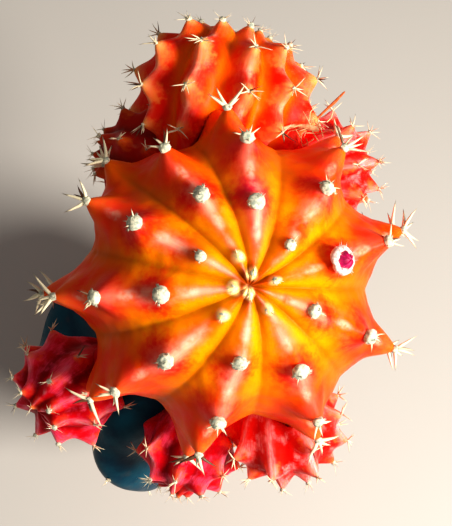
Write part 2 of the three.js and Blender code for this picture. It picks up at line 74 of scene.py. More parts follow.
# Noses that stand low down beside a rib, and the ribs that end early, with their areole counts
LOW_AREOLES = ((7.11, 68), (7.11, 88), (8.5, 82), (8.5, 95))
SHORT_RIBS = ((7, 3), (8, 3), (9, 3))
# Where the head is pressed in, or bulges: azimuth, spread, and depth as a share of its radius
PRESSINGS = ((130, 30, 0.05), (-42, 16, -0.09))
BUD_RIB = 5
BUD_STEP = 1
BUD_RADIUS = 2.1

# Offsets: reach of their tips, centre from the head's centre, growing direction, and ribs
OFFSETS = (
    ("offset_back", 16.2, (-0.8, 35, 0.3), (0.21, 1, 0.4), (
        (-158, 18), (-127, 38), (-93, 33), (-65, 24), (-21, 10.5),
        (8, 27), (37, 24), (84, 34), (115, 17), (151, 32),
    )),
    ("offset_back_right", 10.8, (19.4, 23.8, -5.5), (0.87, 0.3, -0.38), (
        (-141, 29), (-108, 19), (-75, 9), (-16, 19), (38, 13),
        (80, 41), (134, 35), (180, 17),
    )),
    ("offset_back_left", 9.9, (-14.4, 23.8, -6.6), (-0.87, 0.39, -0.29), (
        (-167, 11), (-131, 29), (-86, 21), (-36, 8), (16, 19),
        (59, 10), (106, 27), (149, 38),
    )),
    ("offset_front_left", 11.2, (-25.8, -16.8, -22.7), (-0.74, -0.56, 0.36), (
        (-172, 40), (-117, 41), (-60, 41), (-14, 33), (19, 34),
        (51, 14), (100, 24), (133, 42),
    )),
    ("offset_front", 10.2, (-2.8, -27.4, -25.7), (-0.31, -0.92, -0.23), (
        (-179, 29), (-146, 24), (-109, 24), (-76, 16), (-24, 18),
        (33, 10), (79, 20), (122, 42),
    )),
    ("offset_front_right", 11.2, (13.9, -24.3, -16.1), (0.32, -0.69, -0.65), (
        (-165, 21), (-130, 24), (-82, 41), (-22, 9), (25, 29),
        (67, 9), (114, 32), (157, 41),
    )),
)
FIRST_OFFSET_SEED = 31
LARGE_OFFSET = 12
NECK_RADIUS = 4.2
NECK_REACH = 0.8

# Measures of an offset: the first are shares of its reach, the others are its own
LARGE_SHARES = {
    "wide": 0.67, "above": 0.54, "below": 1.3, "dimple": 0.05, "rib_near": 0.03, "rib_far": 0.06,
    "nose_near": -0.06, "nose_far": 0.23, "flare_near": 0.07, "flare_far": 0.11,
}
SMALL_SHARES = {
    "wide": 0.72, "above": 0.68, "below": 1, "dimple": 0.05, "rib_near": 0.03, "rib_far": 0.06,
    "nose_near": 0.11, "nose_far": 0.19, "flare_near": 0.07, "flare_far": 0.12,
}
LARGE_MEASURES = {
    "body_power": 2.5, "last_areole": 130, "step_scale": 1.22, "horn": 1.2, "horn_radius": 1.7,
    "wool_far": 0.9, "wool_share": 0.85, "spines_far": 2, "spine_length": 3.6,
}
SMALL_MEASURES = {
    "body_power": 2.15, "last_areole": 110, "step_scale": 1.5, "horn": 0.8, "horn_radius": 1.2,
    "wool_far": 0.8, "wool_share": 0.75, "spines_far": 1, "spine_length": 3.1,
}

# Areoles follow each rib in steps that shorten from the crown down
AREOLE_STEP = 24
AREOLE_STEP_SHRINK = 1.9
AREOLE_STEP_LEAST = 14
CROWN_ANGLE = 28

# Relief of a head
DIMPLE_ANGLE = 9
SWEEP_FADE = 25
RELIEF_POWER = 1.1
UNDERSIDE_ANGLE = 112
UNDERSIDE_FADE = 55
CREASE_POWER = 1.7
RIB_RISE_ANGLE = 5
RIB_END_ANGLE = 176
RIB_END_FADE = 30
NOSE_STRETCH = 0.85
NOSE_ROUNDING = 0.3
NOSE_REACH = 6
HORN_FADE = 20

# Spines and wool, as in the part's source
SPINE_LEAN = 58
SPINE_LEAN_SPREAD = 24
SPINE_FAN = 260
SPINE_FAN_SPREAD = 30
SPINE_LENGTH_SHARES = (0.8, 1.2)
SPINE_CLEARANCE = 0.9
WOOL_CLEARANCE = 0.6
WOOL_FLATNESS = 0.8

# Stock: bow from the pot's axis, reach of the wings and of the core, at each height
BOW_DIRECTION = (-0.54, -0.84)
WINGS = ((18, 1), (148, 1.17), (252, 1.03))
WING_TWIST = 19
TWIST_HEIGHT = 88
TWIST_SPAN = 8
WING_BLUNTNESS = 3.4
WING_SPREAD = 60
STOCK_Z = (24, 36, 50, 60, 69, 78, 87, 96, 104, 110, 116)
STOCK_BOW = (5, 6, 8.5, 11.5, 15.5, 18.5, 19, 17, 13.5, 10.5, 8)
STOCK_WING = (10.5, 12, 13.5, 15.5, 19.5, 22.5, 23.5, 22.3, 19.8, 16.5, 11.5)
STOCK_CORE = (5.5, 6.5, 7.5, 8.5, 9, 9.5, 10, 10.5, 11, 10.5, 9)

# Pot and soil
POT_FLOOR = 5
POT_INNER_BASE = 17.5
POT_INNER_TOP = 26.4
SEAT_GAP = 0.35
SOIL_LEVEL = 49
SOIL_RELIEF = 0.9
DRAIN_COUNT = 3
DRAIN_RADIUS = 4
DRAIN_CIRCLE = 12

# Photograph, in pixels: its frame, the head's place in it, and the view's direction and distance
PHOTO_WIDTH = 452
PHOTO_HEIGHT = 526
CAMERA_TILT = 18
CAMERA_SIDE = (-0.54, -0.84)
CAMERA_DISTANCE = 180
FOCAL_PIXELS = 1017
HEAD_PIXEL = (227, 278)
SENSOR = 36


def mix(a, b, share):
    return a + (b - a) * share


def srgb(red, green, blue):
    """A colour given as 0 to 255 on a screen, as scene linear values."""
    return tuple(c / 12.92 if c <= 0.04045 else ((c + 0.055) / 1.055) ** 2.4
                 for c in (red / 255, green / 255, blue / 255))


def seeded_random(seed):
    """Draws the numbers between 0 and 1 that the part's source draws for this seed."""
    state = seed
    mask = 0xFFFFFFFF

    def draw():
        nonlocal state
        state = (state + 0x6D2B79F5) & mask
        mixed = ((state ^ (state >> 15)) * (state | 1)) & mask
        mixed ^= (mixed + (((mixed ^ (mixed >> 7)) * (mixed | 61)) & mask)) & mask
        return (mixed ^ (mixed >> 14)) / 4294967296

    return draw


def turn_between(a, b):
    """Signed difference of two azimuths in degrees, from -180 to 180."""
    return np.mod(np.asarray(a, float) - b + 180, 360) - 180


def around(radius, angle, height):
    """Points at a radius and an angle in radians round the Z axis, at a height."""
    return np.stack(np.broadcast_arrays(radius * np.cos(angle), radius * np.sin(angle), height), -1)


def unit(vector):
    vector = np.asarray(vector, float)
    return vector / np.linalg.norm(vector, axis=-1, keepdims=True)


def lean_to(axis):
    """Rotation that takes +Z to an axis the shortest way, as a 3x3 array."""
    return np.array(Vector((0, 0, 1)).rotation_difference(Vector(axis).normalized()).to_matrix())


Areole = namedtuple("Areole", "rib step theta azimuth")


class Growth:
    """Form of a head or an offset: its place, its ribs and areoles, and the measures of its skin."""

    def __init__(self, name, centre, axis, ribs, random, **measures):
        self.name = name
        self.centre = np.array(centre, float)
        self.turn = lean_to(axis)
        self.azimuths = np.array([azimuth for azimuth, _ in ribs], float)
        self.random = random
        vars(self).update(measures)
        self.areoles = [Areole(w, 0, theta, float(self.azimuth_at(w))) for w, theta in self.low_areoles]
        for rib, (azimuth, first) in enumerate(ribs):
            theta = first
            step = 0
            while theta < self.last_areole and (rib, step) not in self.short_ribs:
                self.areoles.append(Areole(rib, step, theta, azimuth))
                stride = max(AREOLE_STEP_LEAST, AREOLE_STEP - AREOLE_STEP_SHRINK * step)
                theta += stride * self.step_scale
                step += 1

    def azimuth_at(self, w):
        """Azimuth at the rib coordinate w: whole numbers are crests, halves are creases."""
        count = len(self.azimuths)
        lower = np.floor(w).astype(int) % count
        start = self.azimuths[lower]
        span = np.mod(self.azimuths[(lower + 1) % count] - start, 360)
        return start + (w - np.floor(w)) * span

    def rib_coordinate(self, azimuth):
        into = np.mod(azimuth - self.azimuths[0], 360)
        edges = np.append(np.mod(self.azimuths - self.azimuths[0], 360), 360.0)
        return np.interp(into, edges, np.arange(len(edges)))

    def sweep_at(self, theta, azimuth):
        """Near the crown the ribs sweep sideways, as if the crown had grown towards azimuth zero."""
        return -self.sweep * np.sin(azimuth * DEGREE) * np.exp(-theta / SWEEP_FADE)

    def body_radius(self, theta):
        tall = np.where(theta < 90, self.above, self.below)
        across = (np.sin(theta * DEGREE) / self.wide) ** self.body_power
        along = np.abs(np.cos(theta * DEGREE) / tall) ** self.body_power
        hollow = self.dimple * np.exp(-((theta / DIMPLE_ANGLE) ** 2))
        return (across + along) ** (-1 / self.body_power) - hollow

    def to_areole(self, theta, azimuth, areole):
        """Which points lie near an areole, and how far along and across the rib each of them is."""
        theta, azimuth = np.broadcast_arrays(np.atleast_1d(theta), azimuth)
        reach = self.flare_far * NOSE_REACH
        down = (theta - areole.theta) * DEGREE
        aside = np.sin(theta * DEGREE) * turn_between(azimuth, areole.azimuth) * DEGREE
        near = (np.abs(self.above * down) < reach) & (np.abs(self.above * aside) < reach)
        body = self.body_radius(theta[near])
        return near, body * down[near], body * aside[near]

    def skin_radius(self, theta, w):
        """Distance from the centre to the skin, at the polar angle theta and the rib coordinate w."""
        body = self.body_radius(theta)
        share = relief_share(theta)
        off_crest = 2 * np.abs(w - np.round(w))
        pole_fade = np.minimum(np.minimum(1, theta / RIB_RISE_ANGLE),
                               np.maximum(0, (RIB_END_ANGLE - theta) / RIB_END_FADE))
        rib_height = mix(self.rib_near, self.rib_far, share) * pole_fade
        creased = 1 - off_crest ** CREASE_POWER
        waved = 0.5 + 0.5 * np.cos(math.pi * off_crest)
        azimuth = self.azimuth_at(w)
        pressed = sum(depth * np.exp(-((turn_between(azimuth, middle) / spread) ** 2))
                      for middle, spread, depth in self.pressings)
        radius = body * (1 - pressed * share) + rib_height * mix(creased, waved, share)
        radius = np.atleast_1d(radius)
        for areole in self.areoles:
            near, along, across = self.to_areole(theta, azimuth, areole)
            areole_share = relief_share(areole.theta)
            flare = mix(self.flare_near, self.flare_far, areole_share)
            rounding = flare * NOSE_ROUNDING
            distance = np.sqrt((along * NOSE_STRETCH) ** 2 + across ** 2 + rounding ** 2) - rounding
            radius[near] += mix(self.nose_near, self.nose_far, areole_share) * np.exp(-distance / flare)
        return radius

    def local_point(self, theta, w, outward=0.0):
        azimuth = self.azimuth_at(w)
        turned = (azimuth + self.sweep_at(theta, azimuth)) * DEGREE
        radius = self.skin_radius(theta, w) + outward
        return around(radius * np.sin(theta * DEGREE), turned, radius * np.cos(theta * DEGREE))

    def horn_height(self, theta):
        """Height of the fine tip that carries an areole at a polar angle."""
        return self.horn * np.clip((theta - self.horn_from) / HORN_FADE, 0, 1)

    def place(self, local):
        return local @ self.turn.T + self.centre

    def holds(self, points, margin=0.0):
        """Whether each point lies inside the skin, or within a margin of it."""
        local = (np.atleast_2d(points) - self.centre) @ self.turn
        far = np.linalg.norm(local, axis=-1)
        theta = np.arccos(np.clip(local[:, 2] / np.maximum(far, 1e-9), -1, 1)) / DEGREE
        azimuth = np.arctan2(local[:, 1], local[:, 0]) / DEGREE
        w = self.rib_coordinate(azimuth - self.sweep_at(theta, azimuth))
        return far < self.skin_radius(theta, w) + margin


def relief_share(theta):
    """How much of the side's relief is present at a polar angle."""
    upper = np.sin(np.minimum(theta, 90) * DEGREE) ** RELIEF_POWER
    return upper * np.clip(1 - (theta - UNDERSIDE_ANGLE) / UNDERSIDE_FADE, 0, 1)


def make_head():
    return Growth(
        "head_main", HEAD_CENTRE, HEAD_AXIS, HEAD_RIBS, seeded_random(HEAD_SEED),
        low_areoles=LOW_AREOLES, short_ribs=SHORT_RIBS,
        wide=23.2, above=21.6, below=20.5, body_power=2.15, pressings=PRESSINGS, dimple=1.5, sweep=22,
        rib_near=0.6, rib_far=1.7, nose_near=0.5, nose_far=5.4, flare_near=1.7, flare_far=2.6,
        last_areole=118, step_scale=1, wool_near=1.3, wool_far=1.45, wool_share=1,
        spines_near=1, spines_far=2, spine_length=4.6, horn=0.5, horn_radius=1.9, horn_from=38,
    )


def make_offset(index):
    name, size, start, towards, ribs = OFFSETS[index]
    large = size > LARGE_OFFSET
    shares = LARGE_SHARES if large else SMALL_SHARES
    return Growth(
        name, np.add(HEAD_CENTRE, start), towards, ribs, seeded_random(FIRST_OFFSET_SEED + index),
        low_areoles=(), short_ribs=(), pressings=(), sweep=0, large=large, horn_from=5, wool_near=0.7,
        spines_near=1, **{measure: size * share for measure, share in shares.items()},
        **(LARGE_MEASURES if large else SMALL_MEASURES))


def stock_centre(z):
    """Centre of the bowed stock at a height, on the plan."""
    return unit(BOW_DIRECTION) * np.interp(z, STOCK_Z, STOCK_BOW)[..., None]


def stock_twist(z):
    return WING_TWIST * np.tanh((z - TWIST_HEIGHT) / TWIST_SPAN)


def stock_radius(z, azimuth):
    """Distance from the stock's centre to its skin: a round core and three blunt wings."""
    core = np.interp(z, STOCK_Z, STOCK_CORE)
    radius = core
    for wing, reach in WINGS:
        off_wing = np.minimum(np.abs(turn_between(azimuth + stock_twist(z), wing)), WING_SPREAD)
        fullness = np.maximum(0, np.cos(90 / WING_SPREAD * off_wing * DEGREE)) ** WING_BLUNTNESS
        radius = radius + (np.interp(z, STOCK_Z, STOCK_WING) * reach - core) * fullness
    return radius


def stock_holds(points, margin):
    points = np.atleast_2d(points)
    from_axis = points[:, :2] - stock_centre(points[:, 2])
    azimuth = np.arctan2(from_axis[:, 1], from_axis[:, 0]) / DEGREE
    within = np.linalg.norm(from_axis, axis=-1) < stock_radius(points[:, 2], azimuth) + margin
    return within & (points[:, 2] <= STOCK_Z[-1] + margin)


HEAD = make_head()
PUPS = [make_offset(index) for index in range(len(OFFSETS))]


def blocked(growth, reach, margin):
    """Whether any point of each row comes near another growth, or near the stock if a growth is given."""
    points = reach.reshape(-1, 3)
    near = stock_holds(points, margin) if growth else np.zeros(len(points), bool)
    for other in (HEAD, *PUPS):
        if other is not growth:
            near |= other.holds(points, margin)
    return near.reshape(reach.shape[:2]).any(axis=1)


def pot_inner_radius(z):
    """Radius of the pot's tapering inside at a height."""
    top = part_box("pot")[1].z / MM
    return mix(POT_INNER_BASE, POT_INNER_TOP, (z - POT_FLOOR) / (top - POT_FLOOR))


def soil_height(x, y):
    """Height of the soil, as in the part's source: two crossing waves of clods."""
    clods = np.sin(x * 0.71 + 1.3) * np.cos(y * 0.83 - 0.4) + 0.6 * np.sin(x * 1.37 - y * 1.11)
    return SOIL_LEVEL + SOIL_RELIEF * clods


RIPPLE_WAVES = 9


def ripple(points, wavelength, seed):
    """Smooth uneven numbers from about -1 to 1 at points in space, repeatable for a seed."""
    draw = np.random.default_rng(seed)
    total = np.zeros(len(points))
    for _ in range(RIPPLE_WAVES):
        direction = unit(draw.normal(size=3)) * draw.uniform(0.7, 1.4)
        total += np.sin(points @ direction * (TURN / wavelength) + draw.uniform(0, TURN))
    return total / math.sqrt(RIPPLE_WAVES)


def lumps(points, layers):
    """Ripples on top of each other, each layer given by its height, wavelength and seed."""
    return sum(height * ripple(points, wavelength, seed) for height, wavelength, seed in layers)


def read_points(piece):
    points = np.empty(len(piece.data.vertices) * 3)
    piece.data.vertices.foreach_get("co", points)
    return points.reshape(-1, 3)


def write_points(piece, points):
    piece.data.vertices.foreach_set("co", np.asarray(points, np.float32).ravel())
    piece.data.update()


def write_attribute(piece, name, values):
    """Gives each point of a piece its own number, or its own vector."""
    values = np.asarray(values, np.float32)
    kind, field = ("FLOAT_VECTOR", "vector") if values.ndim > 1 else ("FLOAT", "value")
    piece.data.attributes.new(name, kind, "POINT").data.foreach_set(field, values.ravel())


def mark_skin(skin, **marks):
    for name, values in marks.items():
        write_attribute(skin, name, values)


def start_piece():
    """Deselects all, so that the next primitive is shaped alone."""
    if bpy.context.object and bpy.context.object.mode != "OBJECT":
        bpy.ops.object.mode_set(mode="OBJECT")
    bpy.ops.object.select_all(action="DESELECT")


def finish_piece(piece, name, material, nodes=()):
    """Names a piece, gives it its material and slot, and says which nodes it stands for."""
    piece.name = name
    piece.data.name = name
    piece.data.materials.clear()
    piece.data.materials.append(material)
    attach(piece, "root")
    if nodes:
        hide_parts(*nodes)
    return piece


def add_globe(columns, rows):
    """A closed globe of columns and rows, with the row and the column of each of its points."""
    start_piece()
    bpy.ops.mesh.primitive_uv_sphere_add(segments=columns, ring_count=rows, radius=1)
    globe = bpy.context.object
    points = read_points(globe)
    row = np.rint(np.arccos(np.clip(points[:, 2], -1, 1)) / math.pi * rows).astype(int)
    share = np.mod(np.arctan2(points[:, 1], points[:, 0]) / TURN, 1)
    column = np.rint(share * columns).astype(int) % columns
    column[(row == 0) | (row == rows)] = 0
    bpy.ops.object.shade_smooth()
    return globe, row, column


class Template:
    """A small shape that is modelled once and copied many times, with values for its points."""

    def __init__(self, piece, **values):
        self.points = read_points(piece)
        self.faces = [tuple(polygon.vertices) for polygon in piece.data.polygons]
        self.values = values
        bpy.data.objects.remove(piece)


def add_copies(template, placements, shades):
    """One mesh of a template's copies, one at each placement, with a shade for each copy."""
    count = len(template.points)
    homogeneous = np.c_[template.points, np.ones(count)]
    points = np.concatenate([homogeneous @ np.asarray(place).T[:, :3] for place in placements])
    faces = [tuple(v + copy * count for v in face)
             for copy in range(len(placements)) for face in template.faces]
    mesh = bpy.data.meshes.new("copies")
    mesh.from_pydata(points.tolist(), [], faces)
    piece = bpy.data.objects.new("copies", mesh)
    bpy.context.scene.collection.objects.link(piece)
    write_attribute(piece, "shade", np.repeat(shades, count))
    for name, values in template.values.items():
        write_attribute(piece, name, np.tile(values, len(placements)))
    mesh.shade_smooth()
    return piece


def placement(origin, axis, spin, scale, unit_length=MM):
    """Matrix that puts a template's +Z along an axis at a point, turned by spin."""
    matrix = np.eye(4)
    turned = np.array(Matrix.Rotation(spin, 3, "Z"))
    matrix[:3, :3] = lean_to(axis) @ turned @ np.diag(np.broadcast_to(scale, 3)) * unit_length
    matrix[:3, 3] = np.asarray(origin) * unit_length
    return matrix


def join_all(pieces):
    """Joins pieces into the first of them."""
    start_piece()
    for piece in pieces:
        piece.select_set(True)
    bpy.context.view_layer.objects.active = pieces[0]
    bpy.ops.object.join()
    return pieces[0]


def face_outward(piece):
    start_piece()
    piece.select_set(True)
    bpy.context.view_layer.objects.active = piece
    bpy.ops.object.mode_set(mode="EDIT")
    bpy.ops.mesh.select_all(action="SELECT")
    bpy.ops.mesh.normals_make_consistent(inside=False)
    bpy.ops.object.mode_set(mode="OBJECT")


class Shader:
    """A material with a Principled shader, and short ways to add the nodes that drive it."""

    def __init__(self, name, **settings):
        self.material = bpy.data.materials.new(name)
        self.material.use_nodes = True
        self.tree = self.material.node_tree
        self.principled = self.tree.nodes["Principled BSDF"]
        for setting, value in settings.items():
            socket = setting.replace("_", " ").title().replace("Ior", "IOR")
            self.principled.inputs[socket].default_value = value

    def node(self, kind, sockets=(), **properties):
        made = self.tree.nodes.new(kind)
        for name, value in properties.items():
            setattr(made, name, value)
        for socket, value in dict(sockets).items():
            self.give(made.inputs[socket], value)
        return made

    def give(self, socket, value):
        if isinstance(value, bpy.types.NodeSocket):
            self.tree.links.new(value, socket)
        elif socket.type == "RGBA":
            socket.default_value = (*value, 1)
        else:
            socket.default_value = value

    def value(self, name):
        return self.node("ShaderNodeAttribute", attribute_name=name).outputs["Fac"]

    def place(self, along=None):
        """Where a point lies: in the object, or in a vector attribute of its own."""
        if along:
            return self.node("ShaderNodeAttribute", attribute_name=along).outputs["Vector"]
        return self.node("ShaderNodeTexCoord").outputs["Object"]

    def noise(self, size, detail=3.0, roughness=0.55, along=None):
        """Uneven values of about 0 to 1, in patches of a size in millimetres."""
        sockets = {"Vector": self.place(along), "Scale": 1 / (size * MM)}
        sockets |= {"Detail": detail, "Roughness": roughness}
        return self.node("ShaderNodeTexNoise", sockets).outputs["Fac"]

    def patchy(self, size, low, high, first=0.0, last=1.0, detail=3.0):
        """Patches of a size in millimetres with soft edges, as values from first to last."""
        return self.between(self.noise(size, detail), low, high, first, last)

    def cells(self, size):
        sockets = {"Vector": self.place(), "Scale": 1 / (size * MM)}
        return self.node("ShaderNodeTexVoronoi", sockets).outputs["Distance"]

    def between(self, value, low, high, first=0.0, last=1.0):
        """A value's smooth way from low to high, as first to last."""
        sockets = {"Value": value, "From Min": low, "From Max": high, "To Min": first, "To Max": last}
        return self.node("ShaderNodeMapRange", sockets, interpolation_type="SMOOTHSTEP").outputs["Result"]

    def math(self, operation, first, second):
        made = self.node("ShaderNodeMath", operation=operation)
        self.give(made.inputs[0], first)
        self.give(made.inputs[1], second)
        return made.outputs[0]

    def total(self, first, second):
        return self.math("ADD", first, second)

    def product(self, first, *others):
        for other in others:
            first = self.math("MULTIPLY", first, other)
        return first

    def blend(self, share, first, second):
        """The first colour, and the second as far as the share says."""
        made = self.node("ShaderNodeMix", data_type="RGBA")
        for index, value in ((0, share), (6, first), (7, second)):
            self.give(made.inputs[index], value)
        return made.outputs[2]

    def bump(self, *layers):
        """Bumps, each a height value and its depth in millimetres."""
        normal = None
        for height, depth in layers:
            sockets = {"Height": height, "Distance": depth * MM}
            if normal:
                sockets["Normal"] = normal
            normal = self.node("ShaderNodeBump", sockets).outputs["Normal"]
        self.give(self.principled.inputs["Normal"], normal)

    def surface(self, colour, roughness):
        self.give(self.principled.inputs["Base Color"], colour)
        self.give(self.principled.inputs["Roughness"], roughness)
        return self.material


FLESH_WORDS = {
    "apex": "Skin in the hollow of the crown",
    "furrow": "Skin between the ribs near the crown",
    "ridge": "Skin on the ribs near the crown",
    "valley": "Skin between the ribs on the sides",
    "flank": "Skin on the ribs at the sides",
    "halo": "Skin round each areole",
    "nose": "Skin round the outermost areoles",
    "tip": "Young tips of the ribs at the crown",
    # Painted shade along the thin line between two ribs
    "crease": "Thin line between two ribs",
    # Waxy bloom on the ribs, together with a painted sheen along them
    "bloom": "Waxy bloom on the ribs",
    # Palest bloom, together with a painted highlight along the crests
    "frost": "Palest bloom, on the crests",
    # Painted sheen, in pale patches away from the crown
    "veil": "Pale haze in patches",
}


def colour_setting(name, words, *screen_colour):
    """A colour that a user may change, with its default given as 0 to 255 on a screen."""
    return FloatVectorProperty(name=name, description=words, subtype="COLOR", default=srgb(*screen_colour))


def flesh_colours(name, title, **colours):
    """A PropertyGroup with the colours of one kind of flesh."""
    fields = {field: colour_setting(field.title(), FLESH_WORDS[field], *colour)
              for field, colour in colours.items()}
    return type(name, (bpy.types.PropertyGroup,), {"__annotations__": fields, "__doc__": title})


# Darker colours that paint shade on the offset behind the head at the left, which lies in the head's
# shadow
MaroonFlesh = flesh_colours(
    "MaroonFlesh", "Colours of the shaded offset behind the head, at the left",
    apex=(110, 8, 4), furrow=(170, 28, 4), ridge=(190, 24, 8), valley=(150, 22, 4), flank=(186, 26, 8),
    halo=(200, 60, 20), nose=(220, 96, 30), tip=(220, 120, 60), crease=(60, 4, 4), bloom=(190, 40, 20),
    frost=(220, 120, 90))
OrangeFlesh = flesh_colours(
    "OrangeFlesh", "Colours of the head",
    apex=(150, 56, 2), furrow=(250, 158, 0), ridge=(254, 112, 8), valley=(236, 104, 0), flank=(255, 46, 0),
    halo=(234, 14, 14), nose=(250, 100, 4), tip=(255, 232, 160), crease=(140, 56, 0), bloom=(255, 128, 96),
    frost=(255, 218, 190))
CoralFlesh = flesh_colours(
    "CoralFlesh", "Colours of the large offset at the back",
    apex=(220, 70, 10), furrow=(255, 130, 10), ridge=(250, 74, 16), valley=(252, 104, 4),
    flank=(240, 26, 2), halo=(250, 96, 40), nose=(255, 128, 56), tip=(255, 190, 110), crease=(170, 40, 2),
    bloom=(255, 120, 84), frost=(255, 190, 160))
ScarletFlesh = flesh_colours(
    "ScarletFlesh", "Colours of the small offsets at the right",
    apex=(180, 10, 6), furrow=(236, 40, 10), ridge=(240, 36, 16), valley=(216, 8, 4), flank=(236, 24, 10),
    halo=(250, 90, 50), nose=(255, 120, 56), tip=(255, 150, 90), crease=(130, 4, 4), bloom=(250, 70, 66),
    frost=(255, 190, 186), veil=(255, 140, 138))
CrimsonFlesh = flesh_colours(
    "CrimsonFlesh", "Colours of the small offsets at the left and at the front",
    apex=(140, 2, 8), furrow=(206, 8, 18), ridge=(222, 10, 30), valley=(156, 2, 10), flank=(216, 6, 24),
    halo=(240, 60, 40), nose=(255, 96, 44), tip=(255, 140, 80), crease=(100, 0, 8), bloom=(244, 48, 84),
    frost=(255, 176, 186), veil=(255, 84, 120))


class HeadSettings(bpy.types.PropertyGroup):
    """Fineness and fine relief of the skins."""

    columns: IntProperty(name="Columns a rib", description="Columns of points across each rib of the head",
                         default=32, min=12, max=40)
    rows: IntProperty(name="Rows", description="Rows of points from crown to base of the head",
                      default=200, min=60, max=260)
    groove: FloatProperty(name="Groove depth", description="Depth of the crease line between two ribs",
                          default=0.3 * MM, unit="LENGTH")
    wrinkle: FloatProperty(name="Wrinkle depth", description="Height of the skin's uneven swelling",
                           default=0.14 * MM, unit="LENGTH")


class HairSettings(bpy.types.PropertyGroup):
    """Wool cushions and spines."""

    wool: colour_setting("Wool", "Colour of the felted cushions", 226, 220, 192)
    straw: colour_setting("Straw", "Colour of a pale spine", 236, 224, 190)
    bud_wool: colour_setting("Bud wool", "Colour of the wool round the flower bud", 240, 214, 206)
    petal: colour_setting("Petal", "Colour of the closed petals", 206, 0, 96)
    brown: colour_setting("Brown", "Colour of a dark spine and of spine tips", 96, 58, 34)
    spine_radius: FloatProperty(name="Spine radius", description="Radius of a spine at its root",
                                default=0.23 * MM, unit="LENGTH")
    extra_spines: IntProperty(name="Extra spines", description="Spines added to each outer areole",
                              default=3, min=0, max=8)


class StandSettings(bpy.types.PropertyGroup):
    """Stock, pot and soil."""

    skin: colour_setting("Stock skin", "Blue-green skin of the stock", 4, 74, 92)
    cork: colour_setting("Cork", "Dried foot of the stock and edges of its wings", 120, 92, 62)
    clay: colour_setting("Clay", "Fired clay of the pot", 186, 102, 66)
    soil: colour_setting("Soil", "Potting soil", 62, 44, 32)
    clods: IntProperty(name="Clods", description="Loose crumbs on the soil", default=900, min=0, max=1500)


class StudioSettings(bpy.types.PropertyGroup):
    """Light and floor."""

    key_power: FloatProperty(name="Key light", description="Power of the large light at the right",
                             default=3.8, unit="POWER")
    fill: FloatProperty(name="Fill", description="Strength of the light from all round", default=0.22)
    floor: colour_setting("Floor", "Pale floor", 186, 182, 176)


class MoonCactusSettings(bpy.types.PropertyGroup):
    """All that a user may change."""

    orange: PointerProperty(type=OrangeFlesh)
    coral: PointerProperty(type=CoralFlesh)
    scarlet: PointerProperty(type=ScarletFlesh)
    crimson: PointerProperty(type=CrimsonFlesh)
    maroon: PointerProperty(type=MaroonFlesh)
    head: PointerProperty(type=HeadSettings)
    hair: PointerProperty(type=HairSettings)
    stand: PointerProperty(type=StandSettings)
    studio: PointerProperty(type=StudioSettings)


# Fine relief of the skins, in sizes of the head: crease lines, rings, knobs, shoulders and noses
COLUMN_CROWDING = 0.5
GROOVE_WIDTH = 0.6
GROOVE_FADE = 110
HALO_RADIUS = 4.3
HALO_SHIFT = 1.4
KNOB_RADIUS = 0.85
KNOB_HEIGHT = 0.6
KNOB_ANGLE = 15
GLINT_SHIFT = 3.5
GLINT_RADIUS = 1.15
GLINT_LENGTH = 1.7
GLINT_HEIGHT = 0.3
PINCH_RADIUS = 3.3
PINCH_WIDTH = 0.45
PINCH_DEPTH = 0.6
PINCH_FROM = 40
PINCH_FADE = 20
HORN_POWER = 1.6
LEAST_DISTANCE = 0.1
# The rib that is flushed round its second areole
BLUSH_RIB = 7
BLUSH_ANGLE = 27
BLUSH_REACH = 14
BLUSH_WIDTH = 0.26
# Swellings and wrinkles: share of their height, wavelength and seed of each layer
SKIN_LUMPS = ((1, 9, 3), (0.5, 2.6, 4))
GRAIN_LENGTH = 0.14
OFFSET_GROOVE_SHARE = 0.4
OFFSET_WRINKLE_SHARE = 0.6
# Columns a rib and rows of the offsets' skins
LARGE_OFFSET_GRID = (24, 120)
SMALL_OFFSET_GRID = (20, 90)
PRESS_STEPS = 12


def areole_marks(growth, theta, azimuth, scale):
    """Marks of the areoles on the skin, each with a value of 0 to 1 for every point.

    Halo is beside an areole, horn at it, pinch at both sides of its nose, glint on the shoulder
    above it, and knob on the youngest ones.
    """
    marks = {name: np.zeros(len(theta)) for name in ("halo", "horn", "pinch", "glint", "knob")}
    for areole in growth.areoles:
        near, along, across = growth.to_areole(theta, azimuth, areole)
        distance = np.maximum(np.hypot(along, across), LEAST_DISTANCE)
        off_halo = np.hypot(along / scale - HALO_SHIFT, across / scale) / HALO_RADIUS
        off_waist = (distance / scale / PINCH_RADIUS - 1) / PINCH_WIDTH
        found = {
            "halo": np.exp(-off_halo ** 2),
            "horn": np.exp(-(distance / growth.horn_radius) ** HORN_POWER),
            "pinch": np.exp(-off_waist ** 2) * (across / distance) ** 2,
        }
        if areole.rib in range(len(growth.azimuths)):
            above = (along / scale + GLINT_SHIFT) / GLINT_LENGTH
            off_glint = np.hypot(above, across / scale) / GLINT_RADIUS
            found["glint"] = np.exp(-off_glint ** 2)
        if areole.theta < KNOB_ANGLE:
            off_knob = np.hypot(along, across) / (KNOB_RADIUS * scale)
            found["knob"] = np.exp(-off_knob ** 2)
        for name, values in found.items():
            marks[name][near] = np.maximum(marks[name][near], values)
    marks["glint"] *= theta > KNOB_ANGLE
    marks["pinch"] *= np.clip((theta - PINCH_FROM) / PINCH_FADE, 0, 1)
    return marks


